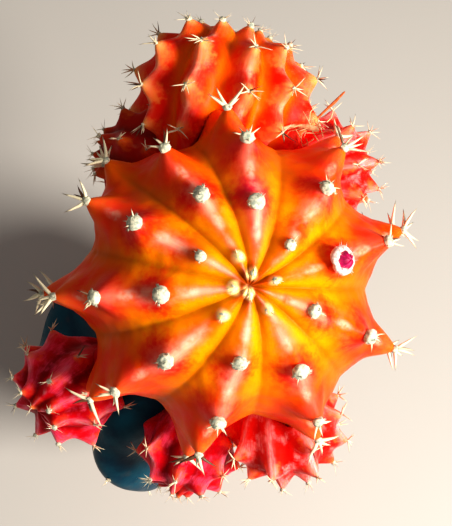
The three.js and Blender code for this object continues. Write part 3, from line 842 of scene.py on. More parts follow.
def add_skin(growth, columns, rows, groove, wrinkle):
    """Skin of a head from a globe: each point is moved to the growth's formula, with finer relief.

    Attributes tell the material where a point lies: furrow is 0 on a crest and 1 in a crease,
    line is 1 on the crease itself, blush is 1 on the flushed rib, and polar is 0 at the crown.
    Patterns on grain run from the crown to the base. The others are the marks of the areoles.
    """
    skin, row, column = add_globe(columns * len(growth.azimuths), rows)
    even = column / columns
    w = even - COLUMN_CROWDING * np.sin(2 * TURN * even) / (2 * TURN)
    theta = row * 180 / rows
    azimuth = growth.azimuth_at(w)
    furrow = 2 * np.abs(w - np.round(w))
    rib_width = growth.body_radius(theta) * np.sin(theta * DEGREE) * TURN / len(growth.azimuths)
    line = np.exp(-((1 - furrow) * rib_width / 2 / GROOVE_WIDTH) ** 2)
    line = line * np.clip(1 - theta / GROOVE_FADE, 0, 1) * np.clip(theta / RIB_RISE_ANGLE, 0, 1)
    off_blush = ((w - BLUSH_RIB) / BLUSH_WIDTH) ** 2 + ((theta - BLUSH_ANGLE) / BLUSH_REACH) ** 2
    blush = np.exp(-off_blush) * (growth is HEAD)
    scale = growth.flare_far / HEAD.flare_far
    marks = areole_marks(growth, theta, azimuth, scale)
    local = growth.local_point(theta, w)
    relief = wrinkle * lumps(local / scale, SKIN_LUMPS) * (1 - marks["halo"]) - groove * line
    swollen = KNOB_HEIGHT * marks["knob"] + GLINT_HEIGHT * marks["glint"]
    relief += (swollen - PINCH_DEPTH * marks.pop("pinch")) * scale
    relief += growth.horn_height(theta) * marks["horn"]
    local = growth.local_point(theta, w, relief)
    on_pole = (row == 0) | (row == rows)
    local[on_pole, :2] = 0
    points = growth.place(local)
    if growth is not HEAD:
        points = press(points, growth.centre, HEAD)
    write_points(skin, points * MM)
    grain = growth.wide * around(1, azimuth * DEGREE, theta * DEGREE * GRAIN_LENGTH)
    mark_skin(skin, furrow=furrow, line=line, blush=blush, polar=theta / 180, grain=grain * MM, **marks)
    return skin


def press(points, centre, other):
    """Points of an offset that lie inside the other head are drawn back to its skin."""
    inside = other.holds(points)
    caught = points[inside]
    near = np.zeros(len(caught))
    far = np.ones(len(caught))
    for _ in range(PRESS_STEPS):
        middle = (near + far) / 2
        held = other.holds(centre + (caught - centre) * middle[:, None])
        far = np.where(held, middle, far)
        near = np.where(held, near, middle)
    points[inside] = centre + (caught - centre) * near[:, None]
    return points


NECK_COLUMNS = 32
NECK_ROWS = 24
NECK_WAIST = 0.85
NECK_END_POWER = 0.25
NECK_MARKS = {"furrow": 0.6, "line": 0, "halo": 0, "knob": 0, "blush": 0, "polar": 0.8}


def add_neck(growth):
    """Short stalk with blunt ends, from an offset's centre into the flank of the head."""
    towards = HEAD.centre - growth.centre
    length = np.linalg.norm(towards) * NECK_REACH
    stalk, row, column = add_globe(NECK_COLUMNS, NECK_ROWS)
    share = row / NECK_ROWS
    width = mix(NECK_WAIST, 1, np.cos(share * TURN) ** 2) * np.sin(share * math.pi) ** NECK_END_POWER
    local = around(NECK_RADIUS * width, column / NECK_COLUMNS * TURN, share * length)
    write_points(stalk, (local @ lean_to(towards).T + growth.centre) * MM)
    face_outward(stalk)
    mark_skin(stalk, grain=local * MM,
              **{name: np.full(len(local), value) for name, value in NECK_MARKS.items()})
    return stalk


# Where a head's colours change: polar bands, from 0 at the crown to 1 at the base
APEX_BAND = (0.016, 0.05)
SHEEN_VEIL_BAND = (0.06, 0.2)
RING_BAND = (0.08, 0.2)
SIDE_BAND = (0.1, 0.36)
NOSE_BAND = (0.27, 0.36)
HEAD_BLOOM_AND_SHEEN_BAND = (0.17, 0.32)
OFFSET_BLOOM_AND_SHEEN_BAND = (0.4, 0.7)
BLUSH_COLOUR = srgb(220, 40, 84)
# Strengths of the waxy bloom and painted sheen on the ribs, of its palest part and painted highlight on
# the crests, and of the painted sheen veil
BLOOM_AND_SHEEN_STRENGTHS = {
    "orange": (0.85, 0.5, 0), "coral": (0.7, 0.35, 0), "scarlet": (1.0, 0.9, 0.85),
    "crimson": (0.9, 0.7, 0.75), "maroon": (0.5, 0.2, 0),
}
# The offset behind the head at the left takes the darker colours of painted shade
OFFSET_FLESHES = ("coral", "scarlet", "maroon", "crimson", "crimson", "scarlet")
TRANSLUCENCY = (1.0, 0.2, 0.03)


class FleshShader(Shader):
    """Waxy translucent skin, in which furrows, ribs and sides differ, and young tips are pale.

    The head's has wide red rings round its areoles, which keep off the crown. The offsets' have
    paler tips round theirs.
    """

    def __init__(self, name, colours, red_rings):
        super().__init__(name, subsurface_weight=0.3, subsurface_scale=0.0018,
                         subsurface_radius=TRANSLUCENCY, coat_weight=0.02, coat_roughness=0.25,
                         specular_ior_level=0.06)
        self.hues = {field: tuple(getattr(colours, field)) for field in type(colours).__annotations__}
        self.red_rings = red_rings
        self.patches = self.noise(6, 4)
        self.fine = self.noise(1.1, 4)
        self.fibres = self.noise(0.4, 5, 0.7, along="grain")
        self.streaks = self.between(self.fibres, 0.38, 0.62, 0.8 if red_rings else 0.3, 1.0)
        self.polar = self.value("polar")
        self.furrow = self.value("furrow")

    def tint(self, share, colour, hue):
        return self.blend(share, colour, self.hues[hue])

    def rib_colour(self):
        """Ridges and furrows near the crown, and flanks and valleys on the sides."""
        furrowed = self.total(self.furrow, self.between(self.patches, 0.25, 0.75, -0.2, 0.2))
        near_crown = self.tint(self.between(furrowed, 0.0, 0.7), self.hues["ridge"], "furrow")
        on_side = self.tint(self.between(furrowed, 0.35, 1.05), self.hues["flank"], "valley")
        outer = self.total(self.polar, self.between(self.patches, 0.3, 0.7, -0.06, 0.06))
        return self.blend(self.between(outer, *SIDE_BAND), near_crown, on_side)

    def ringed(self, colour):
        """Rings or tips round the areoles, and the flush of one rib."""
        ring = self.total(self.value("halo"), self.between(self.fine, 0.3, 0.7, -0.12, 0.12))
        if self.red_rings:
            ring = self.between(ring, 0.2, 0.95, 0.0, 0.95)
            ring = self.product(ring, self.between(self.polar, *RING_BAND))
        else:
            ring = self.between(ring, 0.6, 1.0, 0.0, 0.85)
        ring_colour = self.tint(self.between(self.polar, *NOSE_BAND), self.hues["halo"], "nose")
        colour = self.blend(ring, colour, ring_colour)
        return self.blend(self.product(self.value("blush"), 0.8), colour, BLUSH_COLOUR)

    def with_bloom_and_sheen(self, colour, bloom, frost):
        """Bloom on the ribs, its palest part on the crests, and the shine above the areoles."""
        if self.red_rings:
            fade = self.between(self.polar, *HEAD_BLOOM_AND_SHEEN_BAND, bloom, bloom * 0.08)
        else:
            fade = self.between(self.polar, *OFFSET_BLOOM_AND_SHEEN_BAND, bloom, bloom * 0.6)
        on_rib = self.total(self.furrow, self.between(self.fine, 0.3, 0.7, -0.1, 0.1))
        on_rib = self.between(on_rib, 0.05, 0.6, 1.0, 0.0)
        # Waxy bloom with painted sheen along the ribs
        bloom_and_sheen_share = self.product(on_rib, self.streaks, self.between(self.patches, 0.36, 0.6), fade)
        colour = self.tint(bloom_and_sheen_share, colour, "bloom")
        # Palest bloom with a painted highlight along the crests
        on_crest = self.between(self.furrow, 0.0, 0.36, 1.0, 0.0)
        frost_and_highlight_share = self.product(on_crest, self.between(self.patches, 0.38, 0.58), self.streaks, fade, frost)
        colour = self.tint(frost_and_highlight_share, colour, "frost")
        # Painted highlight on the shoulder above each areole
        shine = self.between(self.value("glint"), 0.5, 1.0)
        shine = self.product(shine, self.between(self.fine, 0.35, 0.65, 0.1, 0.45))
        return self.tint(shine, colour, "frost")

    def with_sheen_veil(self, colour, veil):
        """A pale haze in patches, away from the crown."""
        haze = self.between(self.noise(4, 4, 0.6), 0.46, 0.62)
        haze = self.product(haze, self.streaks, self.between(self.polar, *SHEEN_VEIL_BAND), veil)
        return self.tint(haze, colour, "veil")

    def crowned(self, colour):
        """Lines between the ribs, the hollow of the crown and the pale youngest areoles."""
        # Painted shade along the crease line
        colour = self.tint(self.product(self.value("line"), 0.6), colour, "crease")
        colour = self.tint(self.between(self.polar, *APEX_BAND, 0.95, 0.0), colour, "apex")
        return self.tint(self.between(self.value("knob"), 0.15, 0.75), colour, "tip")


def flesh_material(flesh, settings):
    """Material of one kind of flesh, by the name of its colours in the settings."""
    # Strengths of the bloom with painted sheen, of the crest bloom with painted highlight, and of the
    # painted sheen veil
    bloom, frost, veil = BLOOM_AND_SHEEN_STRENGTHS[flesh]
    shader = FleshShader(flesh + "_flesh", getattr(settings, flesh), flesh == "orange")
    colour = shader.with_bloom_and_sheen(shader.ringed(shader.rib_colour()), bloom, frost)
    if not shader.red_rings:
        colour = shader.tint(shader.between(shader.value("horn"), 0.62, 1.0, 0.0, 0.6), colour, "tip")
    # Painted sheen veil, on the offsets that have one
    if veil:
        colour = shader.with_sheen_veil(colour, veil)
    shader.bump((shader.fibres, 0.03), (shader.noise(0.5, 2), 0.02), (shader.noise(1.6, 3), 0.06))
    return shader.surface(shader.crowned(colour), shader.between(shader.fine, 0.3, 0.7, 0.34, 0.46))


class MOONCACTUS_OT_head(bpy.types.Operator):
    """Build the skin of the orange head"""

    bl_idname = "mooncactus.head"
    bl_label = "Head"

    def execute(self, context):
        settings = context.scene.moon_cactus
        sizes = settings.head
        skin = add_skin(HEAD, sizes.columns, sizes.rows, sizes.groove / MM, sizes.wrinkle / MM)
        finish_piece(skin, "head_skin", flesh_material("orange", settings), ["head_main"])
        return {"FINISHED"}


class MOONCACTUS_OT_offsets(bpy.types.Operator):
    """Build the skins of the six offsets, each pressed against the head that it grows from"""

    bl_idname = "mooncactus.offsets"
    bl_label = "Offsets"

    def execute(self, context):
        settings = context.scene.moon_cactus
        groove = settings.head.groove / MM * OFFSET_GROOVE_SHARE
        wrinkle = settings.head.wrinkle / MM * OFFSET_WRINKLE_SHARE
        materials = {flesh: flesh_material(flesh, settings) for flesh in sorted(set(OFFSET_FLESHES))}
        for growth, flesh in zip(PUPS, OFFSET_FLESHES):
            columns, rows = LARGE_OFFSET_GRID if growth.large else SMALL_OFFSET_GRID
            skin = add_skin(growth, columns, rows, groove, wrinkle)
            skin = join_all([skin, add_neck(growth)])
            finish_piece(skin, growth.name + "_skin", materials[flesh], [growth.name])
        return {"FINISHED"}


# Shapes of a spine and of a strand of wool
SPINE_SIDES = 5
SPINE_LEVELS = (0.35, 0.7)
SPINE_CURVE = 2.4
STRAND_SIDES = 3
STRAND_RADIUS = 0.055
GOLDEN_TURN = math.pi * (3 - math.sqrt(5))
# A cushion of radius 1: its lumps, and its loose hairs from a height up
WOOL_LUMPS = ((0.09, 0.9, 11), (0.05, 0.4, 12))
WOOL_FUR_FROM = -0.35
WOOL_FUR_SPREAD = 0.5
WOOL_FUR_LENGTHS = (0.3, 0.65)
WOOL_FUR_SINK = 0.92
WOOL_SEED = 11
HAIR_SEED = 41
# Subdivisions and loose hairs of a cushion on the head and on the offsets
HEAD_CUSHION = (3, 90)
OFFSET_CUSHION = (2, 30)
# How large the cushions and how long and thick the spines are, from the crown to the sides
HAIR_ANGLES = (0, 12, 28, 50, 60, 72)
WOOL_SHARES = (0.34, 0.45, 0.95, 0.85, 0.62, 0.48)
HEAD_SPINE_LENGTHS = (0.25, 0.3, 0.4, 0.5, 0.75, 1.0)
OFFSET_SPINE_LENGTHS = (0.3, 0.6, 0.8, 0.8, 0.8, 0.8)
SPINE_THICKNESS = (0.5, 0.5, 0.6, 0.9, 1.3, 1.6)
OFFSET_SPINE_SHARE = 0.42
# Finer spines beside those of the part's source
EXTRA_FROM = 40
HEAD_FAN = 130
OFFSET_FAN = 330
EXTRA_LEAN = (34, 74)
EXTRA_LENGTH = (0.65, 1.1)
WOOL_SHADE = srgb(150, 160, 144)
STRAW_SHADE = srgb(196, 176, 130)

Cushion = namedtuple("Cushion", "tip facing radius is_bud")
Spine = namedtuple("Spine", "tip direction length thickness")


def add_cone(sides, radius):
    """A pointed cone of length 1 that stands on the origin."""
    start_piece()
    bpy.ops.mesh.primitive_cone_add(vertices=sides, radius1=radius, depth=1, location=(0, 0, 0.5))
    bpy.ops.object.transform_apply(location=True)
    return bpy.context.object


def spine_template():
    """A slightly curved spine along +Z, of length 1 and root radius 1."""
    cone = add_cone(SPINE_SIDES, 1)
    bpy.ops.object.mode_set(mode="EDIT")
    for level in SPINE_LEVELS:
        bpy.ops.mesh.select_all(action="SELECT")
        bpy.ops.mesh.bisect(plane_co=(0, 0, level), plane_no=(0, 0, 1))
    bpy.ops.object.mode_set(mode="OBJECT")
    points = read_points(cone)
    along = points[:, 2].copy()
    points[:, :2] *= (1 + along)[:, None]
    points[:, 0] += SPINE_CURVE * along ** 2
    write_points(cone, points)
    return Template(cone, along=along)


def add_fur(core, roots, leans, lengths):
    """A core shape joined with hairs that start at roots, along leans."""
    strands = [placement(root, lean, 0, (1, 1, length), 1)
               for root, lean, length in zip(roots, leans, lengths)]
    fur = add_copies(Template(add_cone(STRAND_SIDES, STRAND_RADIUS)), strands, np.zeros(len(strands)))
    return join_all([core, fur])


def wool_template(subdivisions, hairs):
    """A flattened cushion of radius 1 with lumps, and with short loose hairs over its upper side."""
    start_piece()
    bpy.ops.mesh.primitive_ico_sphere_add(subdivisions=subdivisions, radius=1)
    core = bpy.context.object
    points = read_points(core)
    points *= (1 + lumps(points, WOOL_LUMPS))[:, None]
    points[:, 2] *= WOOL_FLATNESS
    write_points(core, points)
    draw = np.random.default_rng(WOOL_SEED)
    roots = points[(np.arange(hairs) * GOLDEN_TURN * len(points)).astype(int) % len(points)]
    roots = roots[roots[:, 2] > WOOL_FUR_FROM]
    leans = []
    lengths = []
    for root in roots:
        leans.append(unit(root) + draw.normal(scale=WOOL_FUR_SPREAD, size=3))
        lengths.append(draw.uniform(*WOOL_FUR_LENGTHS))
    return Template(add_fur(core, roots * WOOL_FUR_SINK, leans, lengths))


def spine_leans(growth, count, extra, fan, draw):
    """Turn, lean and length share of one areole's spines: those of the part's source, then finer ones."""
    leans = []
    for k in range(count):
        turn = ((k + 0.5) / count - 0.5) * SPINE_FAN + (growth.random() - 0.5) * SPINE_FAN_SPREAD
        lean = SPINE_LEAN + (growth.random() - 0.5) * SPINE_LEAN_SPREAD
        leans.append((turn, lean, mix(*SPINE_LENGTH_SHARES, growth.random())))
    for _ in range(extra):
        turn = (draw.random() - 0.5) * fan
        leans.append((turn, draw.uniform(*EXTRA_LEAN), draw.uniform(*EXTRA_LENGTH)))
    return leans


def plan_areoles(growth, extra, fan, lengths):
    """Cushions and spines of a growth, without those that would meet a neighbour.

    The first spines of an areole are drawn in the same order as in the part's source.
    """
    ribs, steps, thetas = (np.array(column, float) for column in list(zip(*growth.areoles))[:3])
    local = growth.local_point(thetas, ribs, growth.horn_height(thetas))
    outward = unit(local)
    down = unit(unit(growth.local_point(thetas + 1, ribs)) - outward)
    tips = growth.place(local)
    facing = outward @ growth.turn.T
    in_crown = thetas < CROWN_ANGLE
    is_bud = (ribs == BUD_RIB) & (steps == BUD_STEP) & (growth is HEAD)
    radii = np.where(is_bud, BUD_RADIUS, np.where(in_crown, growth.wool_near, growth.wool_far))
    free = ~blocked(growth, (tips + facing * radii[:, None])[:, None], WOOL_CLEARANCE)
    shares = np.where(is_bud, 1, np.interp(thetas, HAIR_ANGLES, WOOL_SHARES) * growth.wool_share)
    cushions = [Cushion(tips[i], facing[i], radii[i] * shares[i], is_bud[i]) for i in np.flatnonzero(free)]
    draw = np.random.default_rng(len(growth.areoles))
    spines = []
    for i in np.flatnonzero(free & ~is_bud):
        count = growth.spines_near if in_crown[i] else growth.spines_far
        sparse = growth is HEAD and thetas[i] <= EXTRA_FROM
        side = np.cross(outward[i], down[i])
        for turn, lean, share in spine_leans(growth, count, 1 if sparse else extra, fan, draw):
            across = down[i] * math.cos(turn * DEGREE) + side * math.sin(turn * DEGREE)
            direction = outward[i] * math.cos(lean * DEGREE) + across * math.sin(lean * DEGREE)
            length = growth.spine_length * share * np.interp(thetas[i], HAIR_ANGLES, lengths)
            thickness = np.interp(thetas[i], HAIR_ANGLES, SPINE_THICKNESS)
            spines.append(Spine(tips[i], growth.turn @ direction, length, thickness))
    reach = np.array([[spine.tip + spine.direction * spine.length * share for share in (0.5, 1)]
                      for spine in spines])
    clear = ~blocked(growth, reach, SPINE_CLEARANCE)
    return cushions, [spine for spine, is_clear in zip(spines, clear) if is_clear]


def wool_material(name, pale, dark):
    shader = Shader(name, sheen_weight=0.08, sheen_roughness=0.5)
    shader.bump((shader.noise(0.2, 2), 0.03))
    return shader.surface(shader.blend(shader.patchy(0.5, 0.35, 0.7), pale, dark), 0.95)


def spine_material(name, hair):
    """Straw, with a dark spine here and there and brown tips."""
    shader = Shader(name, coat_weight=0.15)
    dark = shader.between(shader.value("shade"), 0.86, 0.92)
    tipped = shader.between(shader.value("along"), 0.55, 1.0, 0.0, 0.55)
    share = shader.math("MAXIMUM", dark, shader.product(tipped, shader.value("shade")))
    straw = shader.blend(shader.patchy(0.3, 0.3, 0.7, 0.0, 0.25), hair.straw, STRAW_SHADE)
    shader.bump((shader.noise(0.2, 2), 0.02))
    return shader.surface(shader.blend(share, straw, hair.brown), 0.5)


class MOONCACTUS_OT_hair(bpy.types.Operator):
    """Put a wool cushion and spines on every areole"""

    bl_idname = "mooncactus.hair"
    bl_label = "Wool and spines"

    def execute(self, context):
        hair = context.scene.moon_cactus.hair
        wool = wool_material("wool", hair.wool, WOOL_SHADE)
        straw = spine_material("spine", hair)
        spine = spine_template()
        head_cushion = wool_template(*HEAD_CUSHION)
        offset_cushion = wool_template(*OFFSET_CUSHION)
        radius = hair.spine_radius / MM
        plan = plan_areoles(HEAD, hair.extra_spines, HEAD_FAN, HEAD_SPINE_LENGTHS)
        self.add_hair(HEAD, plan, head_cushion, spine, radius, wool, straw)
        for growth in PUPS:
            plan = plan_areoles(growth, hair.extra_spines + 1, OFFSET_FAN, OFFSET_SPINE_LENGTHS)
            self.add_hair(growth, plan, offset_cushion, spine, radius * OFFSET_SPINE_SHARE, wool, straw)
        return {"FINISHED"}

    def add_hair(self, growth, plan, cushion, spine, radius, wool, straw):
        cushions, spines = plan
        draw = np.random.default_rng(HAIR_SEED)
        places = [placement(c.tip, c.facing, draw.uniform(0, TURN), c.radius)
                  for c in cushions if not c.is_bud]
        wools = add_copies(cushion, places, np.zeros(len(places)))
        finish_piece(wools, growth.name + "_wool", wool)
        places = [placement(s.tip, s.direction, draw.uniform(0, TURN),
                            (radius * s.thickness, radius * s.thickness, s.length))
                  for s in spines]
        needles = add_copies(spine, places, draw.random(len(places)))
        finish_piece(needles, growth.name + "_spines", straw)


# Flower bud: its ring of wool, the loose hairs on it and the petals inside
BUD_RING_RADIUS = 1.75
BUD_RING_THICKNESS = 0.66
BUD_RING_COLUMNS = 44
BUD_RING_SIDES = 18
BUD_RING_LUMPS = ((0.16, 1.6, 5), (0.1, 0.7, 6))
BUD_HAIRS = 150
BUD_FUR_FLARE = (0.9, 0.9, 0.4)
BUD_FUR_SPREAD = 0.6
BUD_FUR_LENGTHS = (0.5, 1.1)
BUD_FUR_SINK = 0.96
BUD_SEED = 8
BUD_SEAT = 0.35
BUD_PETAL_RADIUS = 1.5
BUD_PETALS = 5
PETAL_COLUMNS = 60
PETAL_ROWS = 30
PETAL_WINDING = 1.6
PETAL_SEAM_DEPTH = 0.2
PETAL_SEAM_WIDTH = 0.16
PETAL_OVERLAP = 0.1
PETAL_HEIGHT = 1.15
BUD_WOOL_SHADE = srgb(226, 168, 160)
PETAL_SHADE = srgb(150, 0, 64)


def bud_ring_template():
    """A lumpy ring of wool, with loose hairs that lean outward."""
    start_piece()
    bpy.ops.mesh.primitive_torus_add(major_radius=BUD_RING_RADIUS, minor_radius=BUD_RING_THICKNESS,
                                     major_segments=BUD_RING_COLUMNS, minor_segments=BUD_RING_SIDES)
    ring = bpy.context.object
    points = read_points(ring)
    points[:, 2] += lumps(points, BUD_RING_LUMPS)
    write_points(ring, points)
    draw = np.random.default_rng(BUD_SEED)
    roots = points[draw.choice(len(points), BUD_HAIRS, replace=False)]
    roots = roots[roots[:, 2] > 0]
    leans = []
    lengths = []
    for root in roots:
        leans.append(root * BUD_FUR_FLARE + (0, 0, 1) + draw.normal(scale=BUD_FUR_SPREAD, size=3))
        lengths.append(draw.uniform(*BUD_FUR_LENGTHS))
    return Template(add_fur(ring, roots * BUD_FUR_SINK, leans, lengths))


def petals_template():
    """Closed petals of a bud: a dome with overlapping edges that wind round it."""
    dome, row, column = add_globe(PETAL_COLUMNS, PETAL_ROWS)
    points = read_points(dome)
    seam = np.mod(BUD_PETALS * column / PETAL_COLUMNS + PETAL_WINDING * row / PETAL_ROWS, 1)
    dip = PETAL_SEAM_DEPTH * np.exp(-((seam - 0.5) / PETAL_SEAM_WIDTH) ** 2)
    points *= (1 - dip + PETAL_OVERLAP * seam)[:, None]
    points[:, 2] *= PETAL_HEIGHT
    write_points(dome, points)
    return Template(dome)


def petal_material(petal):
    shader = Shader("petals", coat_weight=0.2, subsurface_weight=0.1, subsurface_scale=0.0006)
    shader.bump((shader.noise(0.25, 3), 0.03))
    return shader.surface(shader.blend(shader.patchy(0.7, 0.3, 0.7), petal, PETAL_SHADE), 0.45)


class MOONCACTUS_OT_bud(bpy.types.Operator):
    """Build the flower bud: a ring of wool round closed magenta petals"""

    bl_idname = "mooncactus.bud"
    bl_label = "Flower bud"

    def execute(self, context):
        hair = context.scene.moon_cactus.hair
        areole = next(areole for areole in HEAD.areoles if areole[:2] == (BUD_RIB, BUD_STEP))
        theta = np.array([areole.theta])
        local = HEAD.local_point(theta, np.array([float(BUD_RIB)]), HEAD.horn_height(theta))[0]
        facing = HEAD.turn @ unit(local)
        seat = HEAD.place(local) + facing * BUD_SEAT
        wool = add_copies(bud_ring_template(), [placement(seat, facing, 0, 1)], np.zeros(1))
        finish_piece(wool, "bud_wool", wool_material("bud_wool", hair.bud_wool, BUD_WOOL_SHADE))
        petals = add_copies(petals_template(), [placement(seat, facing, 0, BUD_PETAL_RADIUS)], np.zeros(1))
        finish_piece(petals, "bud_petals", petal_material(hair.petal))
        return {"FINISHED"}


def add_tube(path, radii, sides=8, rows=24):
    """A closed tube through a path's points, with a radius at each of them."""
    tube, row, column = add_globe(sides, rows)
    path = np.array(path, float)
    share = row / rows
    stations = np.linspace(0, 1, len(path))
    centre = np.stack([np.interp(share, stations, path[:, axis]) for axis in range(3)], -1)
    radius = np.interp(share, stations, radii) * ((row > 0) & (row < rows))
    ring = around(radius, column / sides * TURN, 0)
    write_points(tube, (centre + ring @ lean_to(path[0] - path[-1]).T) * MM)
    return tube


# Routes given in the part's frame, with the radius at each point
DRIED_FLOWER_PATH = (
    (3.4, 20.6, 138.9), (6, 22.8, 138.4), (9, 24, 138.2), (11.4, 23.2, 139.4), (13.2, 22.6, 140.2),
)
DRIED_FLOWER_RADII = (0.16, 0.3, 0.26, 0.7, 0.5)
DRIED_STALK_PATH = ((13, 25.6, 135.4), (15, 27.6, 136.8), (17.2, 29.8, 136.8), (19.2, 32, 137.2))
DRIED_STALK_RADII = (0.3, 0.22, 0.3, 0.16)
DRIED_SHADES = (0.15, 1.0)
DRIED_STRANDS = 16
DRIED_HEART_SIZE = (1.92, 0.84, 0.48)
DRIED_STRAND_LEAN = (1, 1, 0.35)
DRIED_STRAND_LENGTHS = (2.5, 5.5)
DRIED_STRAND_BEND = 0.5
DRIED_STRAND_RADII = (0.13, 0.1, 0.05)
DRIED_SEED = 12
DRIED_PALE = srgb(236, 214, 160)
DRIED_DARK = srgb(190, 84, 20)


def dried_material():
    """Papery straw that ages to rust."""
    shader = Shader("dried_flower")
    aged = shader.total(shader.value("shade"), shader.patchy(0.8, 0.35, 0.7, -0.2, 0.3, detail=4))
    shader.bump((shader.noise(0.3, 4), 0.12))
    return shader.surface(shader.blend(shader.between(aged, 0.0, 1.0), DRIED_PALE, DRIED_DARK), 0.85)


class MOONCACTUS_OT_dried_flower(bpy.types.Operator):
    """Build the shrivelled flower that lies between the head and the offset behind it"""

    bl_idname = "mooncactus.dried_flower"
    bl_label = "Dried flower"

    def execute(self, context):
        draw = np.random.default_rng(DRIED_SEED)
        flower = add_tube(DRIED_FLOWER_PATH, DRIED_FLOWER_RADII)
        pieces = [flower, add_tube(DRIED_STALK_PATH, DRIED_STALK_RADII)]
        shades = list(DRIED_SHADES)
        heart = np.array(DRIED_FLOWER_PATH[3], float)
        for _ in range(DRIED_STRANDS):
            start = heart + draw.normal(size=3) * DRIED_HEART_SIZE
            reach = draw.normal(size=3) * DRIED_STRAND_LEAN
            end = start + unit(reach) * draw.uniform(*DRIED_STRAND_LENGTHS)
            middle = (start + end) / 2 + draw.normal(scale=DRIED_STRAND_BEND, size=3)
            pieces.append(add_tube((start, middle, end), DRIED_STRAND_RADII, sides=5, rows=8))
            shades.append(draw.uniform(0, 0.5))
        for piece, shade in zip(pieces, shades):
            write_attribute(piece, "shade", np.full(len(piece.data.vertices), shade))
        finish_piece(join_all(pieces), "dried_flower", dried_material())
        return {"FINISHED"}


# Stock's skin, with areoles at the tops of the scallops on its wings
STOCK_COLUMNS = 144
STOCK_ROWS = 132
STOCK_CAP_ROWS = 6
STOCK_LUMPS = ((0.12, 12, 21),)
STOCK_LUMPS_RADIUS = 9
STOCK_SEED = 3
SCALLOP_DEPTH = 0.45
SCALLOP_LENGTH = 14
SMOOTHING_SHIFTS = (-4, -2.5, -1, 0, 1, 2.5, 4)
STOCK_AREOLE_HEIGHTS = (63, 77, 91)
STOCK_AREOLE_SIZE = (0.6, 0.6, 0.45)
STOCK_SPINES = 3
STOCK_SPINE_RADIUS = 0.12
STOCK_SPINE_LENGTHS = (1.2, 2.2)
STOCK_SPINE_SPREAD = 0.6
CORK_HEIGHTS = (0.052, 0.06)
STOCK_SHADE = srgb(0, 46, 70)
STOCK_WOOL_SHADE = srgb(150, 132, 104)


def smooth_stock(z, azimuth):
    """Centre and radius of the stock's skin, smoothed and scalloped, and how far out on a wing it is."""
    centre = np.mean([stock_centre(z + shift) for shift in SMOOTHING_SHIFTS], axis=0)
    radius = np.mean([stock_radius(z + shift, azimuth + stock_twist(z) - stock_twist(z + shift))
                      for shift in SMOOTHING_SHIFTS], axis=0)
    core = np.interp(z, STOCK_Z, STOCK_CORE)
    on_wing = np.clip((radius - core) / core, 0, 1)
    scallop = np.cos((z - STOCK_AREOLE_HEIGHTS[0]) / SCALLOP_LENGTH * TURN)
    return centre, radius + SCALLOP_DEPTH * scallop * on_wing ** 2, on_wing


def stock_material(stand):
    """Waxy blue-green skin, corky at the foot and faintly so on the edges of the wings."""
    shader = Shader("stock_skin", coat_weight=0.1, coat_roughness=0.34, specular_ior_level=0.12)
    mottle = shader.blend(shader.patchy(7, 0.35, 0.7, detail=4), stand.skin, STOCK_SHADE)
    height = shader.node("ShaderNodeSeparateXYZ", {"Vector": shader.place()}).outputs["Z"]
    height = shader.total(height, shader.patchy(5, 0, 1, -0.006, 0.006, detail=4))
    foot = shader.between(height, *CORK_HEIGHTS, 1.0, 0.0)
    edge = shader.total(shader.value("wing"), shader.patchy(3, 0, 1, -0.2, 0.2, detail=4))
    edge = shader.between(edge, 1.02, 1.12, 0.0, 0.12)
    colour = shader.blend(shader.math("MAXIMUM", foot, edge), mottle, stand.cork)
    shader.bump((shader.noise(0.6, 4), 0.03), (shader.noise(4, 3), 0.12))
    return shader.surface(colour, shader.patchy(2, 0.3, 0.7, 0.34, 0.5))


class MOONCACTUS_OT_stock(bpy.types.Operator):
    """Build the three-winged stock with the small areoles on its wings"""

    bl_idname = "mooncactus.stock"
    bl_label = "Stock"

    def execute(self, context):
        settings = context.scene.moon_cactus
        skin, row, column = add_globe(STOCK_COLUMNS, STOCK_ROWS)
        level = np.clip((row - STOCK_CAP_ROWS) / (STOCK_ROWS - 2 * STOCK_CAP_ROWS), 0, 1)
        z = mix(STOCK_Z[-1], STOCK_Z[0], level)
        azimuth = column * 360 / STOCK_COLUMNS - stock_twist(z)
        capped = np.clip(np.minimum(row, STOCK_ROWS - row) / STOCK_CAP_ROWS, 0, 1)
        centre, radius, on_wing = smooth_stock(z, azimuth)
        uneven = lumps(around(STOCK_LUMPS_RADIUS, azimuth * DEGREE, z), STOCK_LUMPS) * (capped == 1)
        points = around(radius * capped + uneven, azimuth * DEGREE, z)
        points[:, :2] += centre
        write_points(skin, points * MM)
        write_attribute(skin, "wing", on_wing)
        finish_piece(skin, "stock_skin", stock_material(settings.stand), ["stock"])
        self.add_areoles(settings.hair)
        return {"FINISHED"}

    def add_areoles(self, hair):
        draw = np.random.default_rng(STOCK_SEED)
        cushions = []
        spines = []
        for wing, _ in WINGS:
            for z in STOCK_AREOLE_HEIGHTS:
                azimuth = wing - stock_twist(z)
                outward = around(1, azimuth * DEGREE, 0)
                centre, radius, _ = smooth_stock(np.array([float(z)]), np.array([azimuth]))
                tip = np.array([*centre[0], z]) + outward * radius[0]
                if blocked(None, (tip + outward)[None, None], 1.0)[0]:
                    continue
                cushions.append(placement(tip, outward, 0, STOCK_AREOLE_SIZE))
                for _ in range(STOCK_SPINES):
                    lean = outward + draw.normal(scale=STOCK_SPINE_SPREAD, size=3)
                    size = (STOCK_SPINE_RADIUS, STOCK_SPINE_RADIUS, draw.uniform(*STOCK_SPINE_LENGTHS))
                    spines.append(placement(tip, lean, 0, size))
        wool = add_copies(wool_template(*OFFSET_CUSHION), cushions, np.zeros(len(cushions)))
        finish_piece(wool, "stock_wool", wool_material("stock_wool", hair.wool, STOCK_WOOL_SHADE))
        needles = add_copies(spine_template(), spines, draw.random(len(spines)))
        finish_piece(needles, "stock_spines", spine_material("stock_spine", hair))


